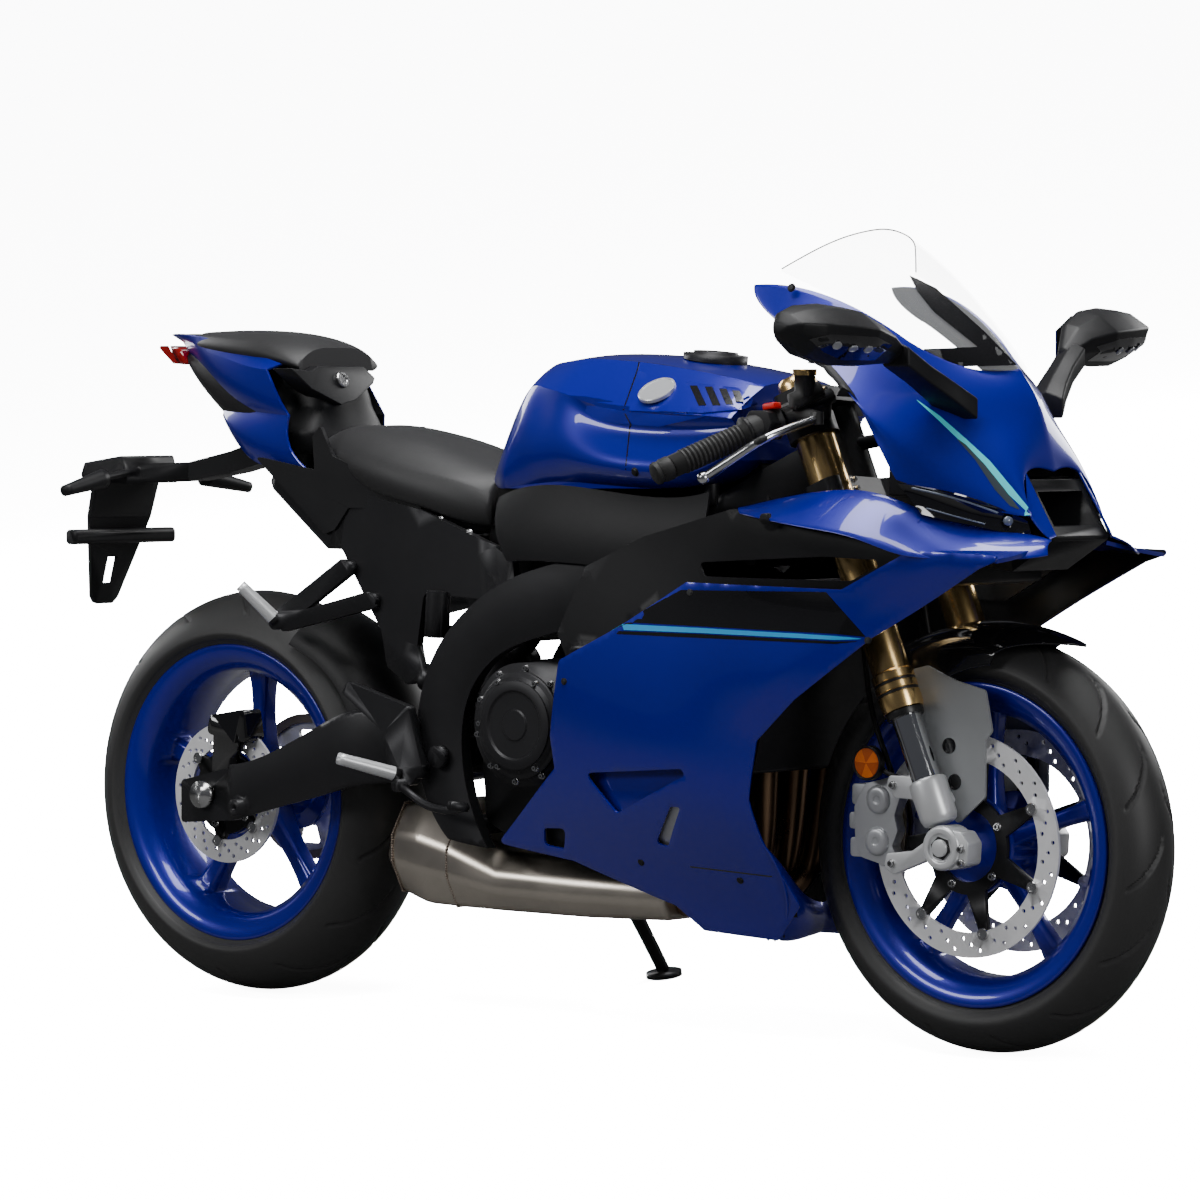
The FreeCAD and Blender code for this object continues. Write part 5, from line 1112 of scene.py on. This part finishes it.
behind("scoop_floors", [(116, 394), (330, 410), (334, 390), (180, 318)], blue_gloss, 4.0,
       0.22, 330.0)
behind("rear_opening_backs", [(4, 262), (12, 310), (74, 310), (62, 262)], black_plastic,
       12.0)
insert_grey = finish_of("insert_grey", (0.42, 0.43, 0.45), 0.6, 0.34)
behind("side_inserts", [(276, 352), (312, 354), (268, 278), (232, 280)], insert_grey, 4.5)
PHOTO_SIZE = 1200.0
PHOTO_MIDDLE = PHOTO_SIZE / 2
PHOTO_FOCUS = CAMERA_LENS / SENSOR_WIDTH * PHOTO_SIZE
ahead = Vector((-math.sin(CAMERA_YAW) * math.cos(CAMERA_DOWN), math.cos(CAMERA_YAW) * math.cos(CAMERA_DOWN),
                -math.sin(CAMERA_DOWN)))
rightwards = Vector((math.cos(CAMERA_YAW), math.sin(CAMERA_YAW), 0))
upwards = rightwards.cross(ahead)


def sight(px, py):
    """The line of sight through a place in the picture, in the bike's millimetres."""
    return (ahead + rightwards * ((px - PHOTO_MIDDLE) / PHOTO_FOCUS)
            - upwards * ((py - PHOTO_MIDDLE) / PHOTO_FOCUS)).normalized()


def at_y(px, py, y):
    """The point on a line of sight that lies y millimetres to the left of the middle plane."""
    way = sight(px, py)
    return CAMERA_AT + way * ((y - CAMERA_AT.y) / way.y)


def touch(skin, px, py):
    """Where a line of sight first meets a surface, and the way the surface faces there."""
    way = sight(px, py)
    spot, normal, _, _ = skin.ray_cast(CAMERA_AT, way)
    if spot is None:
        spot, normal, _, _ = skin.find_nearest(at_y(px, py, -150))
    if normal.dot(way) > 0:
        normal = -normal
    return spot, normal


def film(name, outline, target, material, lift=0.35, step=6.0, radius=0.6, thick=0.25, edge=0.0,
         both_sides=True):
    """A thin film on a surface, outlined as seen from the camera, with its mirror image on the left."""
    points, faces = cut_sheet(outline, (), step, radius)
    skin = skin_of(target)
    places = []
    for px, py in points:
        spot, normal = touch(skin, px, py)
        places.append(spot + normal * lift)
    mesh = bpy.data.meshes.new(name)
    mesh.from_pydata(places, [], faces)
    mesh.update()
    out = sum((Vector(f.normal) * f.area for f in mesh.polygons), Vector())
    if out.dot(sight(*outline[0])) > 0:
        mesh.flip_normals()
    if both_sides:
        mesh = joined(name, [mesh, mirrored_copy(mesh, name + "_left")])
    piece(name, mesh, [material], "chassis", wall=thick, edge=edge, edge_angle=50)


film_black = finish_of("film_black", (0.006, 0.006, 0.007), 0.0, 0.2, spread=0.1, Coat_Weight=0.8)
film_cyan = finish_of("film_cyan", (0.035, 0.42, 0.86), 0.0, 0.25, spread=0.05, Coat_Weight=0.8)
film_grey = finish_of("film_grey", (0.045, 0.065, 0.08), 0.2, 0.3, spread=0.05, Coat_Weight=0.8)
film_aqua = finish_of("film_aqua", (0.07, 0.74, 0.82), 0.0, 0.3, spread=0.05, Coat_Weight=0.6)
film("side_black_films", [(681, 590), (826, 592), (866, 637), (835, 634), (622, 622)], fairing, film_black)
film("side_cyan_stripes", [(622, 624), (700, 628), (835, 636), (866, 639), (835, 640), (700, 633),
                           (624, 630)], fairing, film_cyan, lift=0.5)
film("side_dark_lines", [(619, 631), (700, 634), (835, 641.5), (864, 641), (835, 644), (700, 638),
                         (616, 634)], fairing, film_black, lift=0.3)
film("side_seams", [(690, 866), (772, 876), (772, 877.4), (690, 867.4)], fairing, film_black,
     lift=0.1)
fairing_skin = skin_of(fairing)
panel_screws = [touch(fairing_skin, px, py) for px, py in ((564, 681), (868, 640), (641, 862), (740, 880),
                                                           (690, 592))]
screws("fairing_screws", panel_screws, 6.0, 2.0, black_plastic, socket_painted_shade, "chassis",
       mirror=True)

# Chin: a moulded panel, painted blue, that joins the two fairings in front of the exhaust pipes and
# under the radiator.
CHIN = [[(432, -172, 292), (420, -92, 238), (405, -30, 207), (402, 0, 200)],
        [(442, -136, 218), (427, -76, 192), (413, -25, 177), (408, 0, 174)],
        [(404, -104, 150), (403, -62, 148), (400, -20, 152), (398, 0, 154)]]


def sheet(name, net, outwards, creases=()):
    """A smooth sheet through a coarse net, facing outwards, with its mirror image on the left."""
    mesh = grid_mesh(name, smooth_net(net, 7.0, creases))
    mesh.update()
    facing = sum((Vector(f.normal) * f.area for f in mesh.polygons), Vector())
    if facing.dot(Vector(outwards)) < 0:
        mesh.flip_normals()
    return joined(name, [mesh], mirror=True)


piece("chin_panel", sheet("chin", CHIN, (1, 0, 0)), [blue_gloss, black_plastic], "chassis",
      wall=PANEL_T, edge=1.0, edge_angle=40)

# Upper cowl: one moulded shell over the nose, painted blue outside and black inside, with two fangs beside
# the air mouth. Its creases are sharp edges of the mould.
COWL = [[(754, 0, 979), (772, 0, 955), (789, 0, 925), (803, 0, 880), (815, 0, 833)],
        [(711, -62, 979), (745, -63, 945), (770, -64, 905), (795, -65, 868), (813, -65, 831)],
        [(640, -114, 1019), (676, -126, 952), (728, -114, 896), (780, -102, 842), (838, -86, 772)],
        [(545, -142, 1074), (590, -166, 985), (650, -172, 910), (716, -156, 850), (800, -116, 778)],
        [(404, -165, 1099), (448, -176, 1050), (561, -184, 979), (628, -186, 895), (672, -182, 822)]]
FANG = [[(811, -64.5, 835), (842, -67, 786), (868, -68, 744)],
        [(833, -88, 780), (846, -84, 757), (862, -76, 739)]]
cowl = piece("upper_cowl_shell", sheet("cowl", COWL, (0, -1, 0), creases=(2,)), [blue_gloss, black_plastic],
             "chassis", ["upper_cowl"], wall=PANEL_T, edge=1.2, edge_angle=30)
piece("nose_fangs", sheet("fang", FANG, (0, -1, 0)), [blue_gloss, black_plastic], "chassis",
      wall=PANEL_T, edge=1.0, edge_angle=40)
CHEEK_TOP = [(411, -205, 780), (489, -190, 797), (621, -178, 805), (692, -165, 784), (766, -128, 757),
             (827, -92, 748), (867, -78, 738)]
CHEEK_LOW = [(431, -233, 772), (543, -237, 755), (645, -229, 737), (717, -216, 716), (806, -190, 716),
             (858, -150, 714), (882, -108, 718)]
CHEEK = [CHEEK_TOP, [(a[0] * 0.45 + b[0] * 0.55, a[1] * 0.45 + b[1] * 0.55 - 5, a[2] * 0.45 + b[2] * 0.55 + 3)
                     for a, b in zip(CHEEK_TOP, CHEEK_LOW)], CHEEK_LOW]
piece("cheek_panels", sheet("cheek", CHEEK, (0, -1, 0)), [blue_gloss, black_plastic], "chassis",
      wall=2.5, edge=0.8, edge_angle=40)
film("cowl_cyan_stripes", [(913, 397), (940, 416), (965, 438), (990, 461), (1015, 491), (1037, 518),
                           (1028, 513), (1008, 494), (985, 465), (962, 443), (938, 420)], cowl, film_aqua)
film("cowl_grey_stripes", [(955, 437), (975, 460), (995, 490), (1010, 506), (1020, 510), (1005, 490),
                           (984, 464), (966, 445)], cowl, film_grey, lift=0.6)
dressed("nose_intake", "nose_air_mouth", black_plastic)
nose_back = slab("nose_back", [(662, 668), (640, 742), (614, 800), (618, 880), (660, 890), (742, 868),
                               (778, 826), (716, 812), (714, 674)], -112, 112, 6)
side_backs = [slab("side_back", [(634, 798), (634, 882), (662, 884), (690, 868), (690, 798)], *ys, 4)
              for ys in ((-150, -100), (100, 150))]
piece("nose_liner", joined("nose_liner", [nose_back] + side_backs), [black_plastic], "chassis",
      edge=3, edge_angle=40)

# Lamps: a slanted strip under each side of the cowl, black behind a clear cover, with a thin line of light
# along its upper edge and a round lens near the mouth.
lamp_black = finish_of("lamp_black", (0.006, 0.006, 0.008), 0.0, 0.06, spread=0.05, Coat_Weight=1.0)
lamp_clear = finish_of("lamp_clear", (0.16, 0.19, 0.25), 0.1, 0.12, spread=0.05, Coat_Weight=1.0)
dressed("headlamps", "position_lamps", lamp_black)
LAMP_TOP = [(897, 483, -182), (930, 489, -170), (965, 497, -152), (1000, 509, -116), (1027, 520, -88)]
LAMP_LOW = [(921, 514, -178), (950, 521, -160), (980, 527, -134), (1008, 533, -108), (1031, 533, -88)]
lamp_net = [[tuple(at_y(*spot)) for spot in LAMP_TOP],
            [tuple((at_y(*a) + at_y(*b)) / 2 + Vector((-3, 5, 0))) for a, b in zip(LAMP_TOP, LAMP_LOW)],
            [tuple(at_y(*spot)) for spot in LAMP_LOW]]
piece("lamp_strips", sheet("lamp_strip", lamp_net, (0, -1, 0)), [lamp_black], "chassis",
      wall=3.0)
lines_of_light = []
for side in (1, -1):
    for row, wide in (([(912, 488, -178), (940, 494, -163), (972, 503, -142), (998, 513, -118)], 3.2),
                      ([(926, 508, -178), (950, 515, -163), (985, 524, -136)], 2.2)):
        places = [at_y(*spot) + Vector((1.5, -2.5, 0)) for spot in row]
        lines_of_light.append(bent_tube("light_line", [(p.x, p.y * side, p.z) for p in places], wide))
    centre = at_y(1008, 521, -108)
    lines_of_light.append(lathe("lens", [(0, 7), (3, 6.6), (5, 4.6), (6, 0.4)],
                                (centre.x, centre.y * side, centre.z), (0.8, -0.6 * side, 0), 32))
piece("lamp_lights", joined("light_lines", lines_of_light), [lamp_clear], "chassis")
dressed("winglets", "winglet_blades", blue_gloss)
dressed("dash", "dash_housing", black_plastic)

# Mirrors: an angular black housing on a flat stalk, a glass set into its back, and a turn lamp with three
# round lights in its front.
MIRROR = ((196, 986, 1010, 680, 704), (236, 984, 1044, 658, 714), (286, 981, 1064, 646, 724),
          (336, 982, 1069, 640, 720), (386, 994, 1066, 638, 708), (416, 1014, 1056, 638, 690),
          (426, 1026, 1042, 642, 668))
mirror_shells, mirror_glass, mirror_dots = [], [], []
mirror_silver = finish_of("mirror_silver", (0.85, 0.86, 0.87), 1.0, 0.03, spread=0.05)
for side in (-1, 1):
    loops = []
    for y, low, high, back, front in MIRROR:
        ridge = low + 0.62 * (high - low)
        loops.append([(back, side * y, low + 4), (back, side * y, high - 4), (back + 8, side * y, high),
                      (0.55 * front + 0.45 * back, side * y, high - 0.08 * (high - low)),
                      (front, side * y, ridge), (front - 6, side * y, low + 0.3 * (high - low)),
                      (0.6 * back + 0.4 * front, side * y, low)])
    mirror_shells.append(loft("mirror_shell", loops))
    arm = []
    for x, y, z, tall, thick in ((726, 102, 926, 62, 20), (716, 132, 948, 52, 18), (704, 172, 974, 44, 17),
                                 (694, 214, 1000, 46, 18)):
        arm.append([(x - tall / 2, side * y, z - thick), (x - tall / 2, side * y, z + thick / 2),
                    (x, side * y, z + thick), (x + tall / 2, side * y, z + thick / 2),
                    (x + tall / 2, side * y, z - thick)])
    mirror_shells.append(loft("mirror_arm", arm))
    glass = [(639.0, side * y, z) for y, z in ((250, 994), (250, 1034), (288, 1056), (336, 1061), (384, 1058),
                                               (410, 1047), (410, 1022), (386, 1002), (336, 990), (288, 988))]
    mirror_glass.append(loft("mirror_glass", [glass, [(p[0] - 1.5, p[1], p[2]) for p in glass]]))
mirror = piece("mirror_shells", joined("mirror_shells", mirror_shells), [black_plastic], "chassis",
               ["mirrors"], edge=3.0, edge_angle=14, cuts=3, crease=50)
piece("mirror_glasses", joined("mirror_glasses", mirror_glass), [mirror_silver], "chassis")
film("turn_lamps", [(809, 339), (832, 334), (877, 337), (892, 345), (875, 360), (842, 360), (824, 352)],
     mirror, lamp_black, lift=0.6)
mirror_skin = skin_of(mirror)
for px, py in ((837, 345), (853, 348), (868, 349)):
    spot, facing = touch(mirror_skin, px, py)
    for side in (1, -1):
        mirror_dots.append(lathe("dot", [(0.6, 7), (2.0, 7), (2.6, 5.5), (1.6, 5.0), (1.6, 0.3)],
                                 (spot.x, spot.y * side, spot.z), (facing.x, facing.y * side, facing.z), 24))
piece("turn_lamp_lights", joined("dots", mirror_dots), [insert_grey], "chassis")

# Windscreen: clear plastic, bent in two ways, with a dark rim and the black edge of the air duct behind
# it. One small screw on each side holds it to the cowl.
screen_clear = finish_of("screen_clear", (0.92, 0.94, 0.95), 0.0, 0.03, spread=0.0, Alpha=0.10,
                         Coat_Weight=1.0)
screen = dressed("windscreen", "clear_windscreen", screen_clear)
film("screen_duct", [(909, 275), (936, 288), (986, 333), (1017, 365), (952, 367), (923, 349), (978, 347),
                     (934, 312), (917, 291)], screen, film_black, both_sides=False)
RIM = [(450, -160, 1121), (474, -128, 1144), (500, -90, 1165), (511, -45, 1176), (514, 0, 1181)]
rim_line = RIM + [(x, -y, z) for x, y, z in reversed(RIM[:-1])]
piece("screen_rim", bent_tube("screen_rim", rim_line, 2.2), [film_black], "chassis")
screws("screen_screws", [(Vector((474, -168, 1094)), Vector((0.2, -1, 0.3)))], 6.5, 3.0, black_plastic,
       socket_painted_shade, "chassis", mirror=True)

# Fuel tank cover: pressed and painted blue, with sharp shoulders, a raised top plate with four slanted
# slots drawn as black films of painted shade, a plain round plate on each side, and a scooped flank
# below them.
TANK = ((-152, 802, 86, 91, 90, 84, 822, 50, 838), (-130, 800, 104, 108, 104, 95, 858, 58, 880),
        (-110, 800, 116, 121, 114, 103, 888, 62, 920), (-84, 803, 122, 130, 122, 108, 928, 66, 958),
        (-60, 806, 128, 137, 129, 113, 951, 68, 984), (-20, 810, 133, 147, 138, 128, 950, 78, 995),
        (20, 812, 138, 155, 148, 141, 944, 86, 1000), (70, 810, 140, 163, 152, 151, 932, 90, 1001),
        (120, 807, 142, 168, 152, 160, 921, 93, 999), (220, 804, 146, 170, 150, 167, 914, 97, 988),
        (310, 817, 152, 171, 152, 168, 911, 93, 972), (357, 846, 150, 165, 150, 160, 907, 80, 960))


def tank_line(x, low, low_half, belly_half, neck_half, shoulder_half, shoulder_z, top_half, top):
    """The four runs of one half section: floor, flank, shoulder plane and top."""
    neck_z = shoulder_z - 0.26 * (shoulder_z - low)
    belly_z = low + 0.42 * (shoulder_z - low)
    plate_z = top - 0.12 * (top - shoulder_z)
    mid_z = 0.5 * (shoulder_z + plate_z) + 2.0
    mid_half = 0.5 * (shoulder_half + top_half) + 1.5
    return [[(x, 0, low), (x, -low_half, low)],
            [(x, -low_half, low), (x, -belly_half, belly_z), (x, -neck_half, neck_z),
             (x, -shoulder_half, shoulder_z)],
            [(x, -shoulder_half, shoulder_z), (x, -mid_half, mid_z), (x, -top_half, plate_z)],
            [(x, -top_half, plate_z), (x, -0.5 * top_half, plate_z + 0.75 * (top - plate_z)), (x, 0, top)]]


tank_lines = [tank_line(*section) for section in TANK]
tank_runs = [grid_mesh("tank", smooth_net([line[run] for line in tank_lines], 8.0)) for run in range(4)]
tank_mesh = joined("tank", tank_runs, mirror=True)
closed = bmesh.new()
closed.from_mesh(tank_mesh)
bmesh.ops.holes_fill(closed, edges=[e for e in closed.edges if e.is_boundary], sides=0)
bmesh.ops.recalc_face_normals(closed, faces=closed.faces)
closed.to_mesh(tank_mesh)
closed.free()
tank = piece("tank_cover", tank_mesh, [blue_gloss], "chassis", ["fuel_tank"], edge=3.0,
             edge_angle=17, cuts=3, crease=40)
film("tank_plates", [(638, 372), (688, 383), (738, 389), (758, 404), (736, 411), (701, 414), (630, 411)],
     tank, blue_gloss, lift=2.2, thick=2.2, edge=0.9, step=7.0, radius=1.5)
film("tank_seams", [(640, 362), (637.6, 372), (624, 410), (631, 424), (626, 470), (624.8, 470), (629.6, 424),
                    (622.6, 410), (636, 372), (638.6, 362)], tank, film_black, lift=0.1)
# The slots are not cut: black films laid on the plate are painted shade where each slot's opening would be.
slot_shapes = [[(x0, y0), (x0 + 7.5, y0), (x1, y1), (x1 - 8, y1)]
               for x0, y0, x1, y1 in ((690, 387, 707, 407), (705, 388, 721, 407), (719, 390, 734, 406),
                                      (732, 392, 744, 403))]
for number, shape_of_slot in enumerate(slot_shapes):
    film("painted_tank_slot_shade_%d" % number, shape_of_slot, tank, film_black, lift=2.55, step=4.0)
badge_ring = finish_of("badge_ring", (0.62, 0.63, 0.65), 0.5, 0.3, spread=0.1)
tank_skin = skin_of(tank)
spot, facing = touch(tank_skin, 658, 392.5)
badges = []
for side in (1, -1):
    badges.append(lathe("badge", [(1.0, 29), (6.0, 29), (7.0, 28), (7.0, 26.4), (6.0, 25.6), (6.0, 20),
                                  (6.2, 10), (6.3, 0.4)],
                        (spot.x, spot.y * side, spot.z), (facing.x, facing.y * side, facing.z), 56))
piece("tank_round_plates", joined("badges", badges), [badge_ring], "chassis", crease=40)
screws("tank_screws", [touch(tank_skin, 635, 472)], 7.0, 3.0, black_plastic, socket_painted_shade, "chassis",
       mirror=True)
airbox = slab("airbox", [(-172, 716), (-150, 812), (-60, 812), (120, 812), (300, 816), (350, 846), (372, 780),
                         (340, 690), (-60, 690)], -84, 84, 8)
piece("air_box", airbox, [black_plastic], "chassis", edge=4, edge_angle=40)

# Tail panels: moulded plastic in gloss blue, one each side, folded along a ridge at the top, a hollow in
# the middle and a fin below it, and joined over the tail lamp.
TAIL = [[(172, 335, -14), (199, 336, -52), (224, 343, -73), (253, 353, -90), (281.4, 363.6, -102)],
        [(183, 342, -20), (205, 350, -63), (224, 357.5, -84), (244, 365, -99), (266.4, 369.3, -110)],
        [(197.5, 364.6, -28), (213.6, 373.6, -70), (231.4, 380.7, -91), (253, 388, -104), (276, 393, -113)],
        [(226, 400.3, -42), (237, 405.7, -74), (253, 411, -90), (270.7, 413.6, -103), (288.5, 415.7, -112)],
        [(224, 409, -60), (231.4, 427, -86), (249, 441.4, -100), (270.7, 450.3, -109), (294, 456.4, -117)],
        [(223, 415, -56), (231, 433, -76), (251, 459, -88), (278, 468, -102), (315.3, 476, -116)]]
tail_net = [[tuple(at_y(*spot)) for spot in row] for row in TAIL]
tail_grid = smooth_net(tail_net, 5.0, creases=(1, 3))
tail_mesh = joined("tail", [grid_mesh("tail", tail_grid, flip=True)], mirror=True)
piece("tail_panels", tail_mesh, [blue_gloss, black_plastic], "chassis", ["tail_cowl"],
      wall=PANEL_T, edge=1.4, edge_angle=16, cuts=2)


def at_x(px, py, x):
    """The point on a line of sight that lies x millimetres in front of the middle of the wheelbase."""
    way = sight(px, py)
    return CAMERA_AT + way * ((x - CAMERA_AT.x) / way.x)


cover_outline = [at_y(px, py, -117) for px, py in ((256, 456), (316, 470), (314, 436), (322, 426), (334, 456),
                                                   (378, 478), (425, 502), (420, 514), (392, 508), (350, 508),
                                                   (336, 530), (326, 534))]
side_covers = [slab("side_cover", [(p.x, p.z) for p in cover_outline], *ys, 4)
               for ys in ((-121, -114), (114, 121))]
piece("seat_side_covers", joined("side_covers", side_covers), [black_plastic], "chassis",
      edge=2.5, edge_angle=40, cuts=3)
LOCK_FACE = ((291, 368, -538), (312, 371, -534), (319, 366, -534), (364, 366, -534), (376, 378, -532),
             (374, 384, -528), (356, 400, -512), (342, 405, -508), (312, 389, -520))
face_loop = [at_x(*spot) for spot in LOCK_FACE]
lock_mesh = loft("lock_face", [[tuple(p) for p in face_loop],
                               [(p.x - 46, p.y * 0.96, p.z) for p in face_loop]])
piece("seat_lock_face", lock_mesh, [black_plastic], "chassis", edge=3.0, edge_angle=40,
      cuts=3)
lock_at = at_x(342, 380, -527)
piece("seat_lock", lathe("seat_lock", [(0, 13), (3, 13), (4.5, 11.5), (4.5, 8), (3, 7), (3, 0.4)], lock_at,
                         (0.9, 0, 0.35), 40), [bright_steel], "chassis", crease=40)

# Seats: foam on a hard base, under a stretched black vinyl cover. The rider's is long and low, and the
# passenger's is a short pad on the tail.
seat_vinyl = finish_of("seat_vinyl", (0.021, 0.021, 0.022), 0.0, 0.52, bump=0.0002, grain=700.0)
dressed("rider_seat", "rider_seat_pad", seat_vinyl)
dressed("pillion_seat", "pillion_pad", seat_vinyl)

# Filler cap and trims: a hinged cap in satin black metal on top of the tank, and moulded black trims that
# fill the gap between the tank and the frame.
dressed("filler_cap", "filler_cap_ring", frame_black)
dressed("tank_side_trims", "tank_trims", black_plastic)

# Tail underside: moulded black plastic under the tail panels, with the red lamp lens at its end and the
# bent arm of the plate carrier below. Bright bolts hold the cast side plates under the seats.
tail_underside = dressed("tail_lower", "tail_underside", black_plastic)
for v in tail_underside.data.vertices:
    place = IN_BIKE.inverted() @ v.co
    if place.x > -640 and place.z > 880:
        place.y *= 1.0 - 0.26 * min(1.0, (place.z - 880) / 40) * min(1.0, (place.x + 640) / 60)
        v.co = IN_BIKE @ place
red_lens = finish_of("red_lens", (0.30, 0.005, 0.005), 0.0, 0.12, spread=0.05, Coat_Weight=1.0)
dressed("tail_lamp", "tail_lamp_lens", red_lens)
dressed("plate_holder", "plate_carrier", black_plastic)
subframe_bolts = [(at_y(px, py, -119), Vector((0, -1, 0))) for px, py in ((440, 521), (469, 534), (512, 575))]
screws("subframe_bolts", subframe_bolts, 8.0, 4.5, bright_steel, socket_painted_shade, "chassis", mirror=True)

# Foot controls: cast hangers painted black and bolted to the frame, with pegs of bare metal, the brake
# pedal on the right and the shift lever on the left.
PEGS = (((-268, 178, 367), (-315, 262, 394), 13.0), ((-558, 134, 590), (-600, 172, 646), 13.0))


def peg_finish(at, facing):
    """The pegs are bare metal from a short way out, and the rest of the foot controls is painted."""
    for foot, end, radius in PEGS:
        foot = Vector((foot[0], foot[1] * (1 if at.y > 0 else -1), foot[2]))
        end = Vector((end[0], end[1] * (1 if at.y > 0 else -1), end[2]))
        way = (end - foot).normalized()
        along = (at - foot).dot(way)
        if along > 10 and (at - foot - way * along).length < radius:
            return 1
    return 0


painted(dressed("foot_controls_right", "right_foot_controls", frame_black), [cast_silver], peg_finish)
painted(dressed("foot_controls_left", "left_foot_controls", frame_black), [cast_silver], peg_finish)
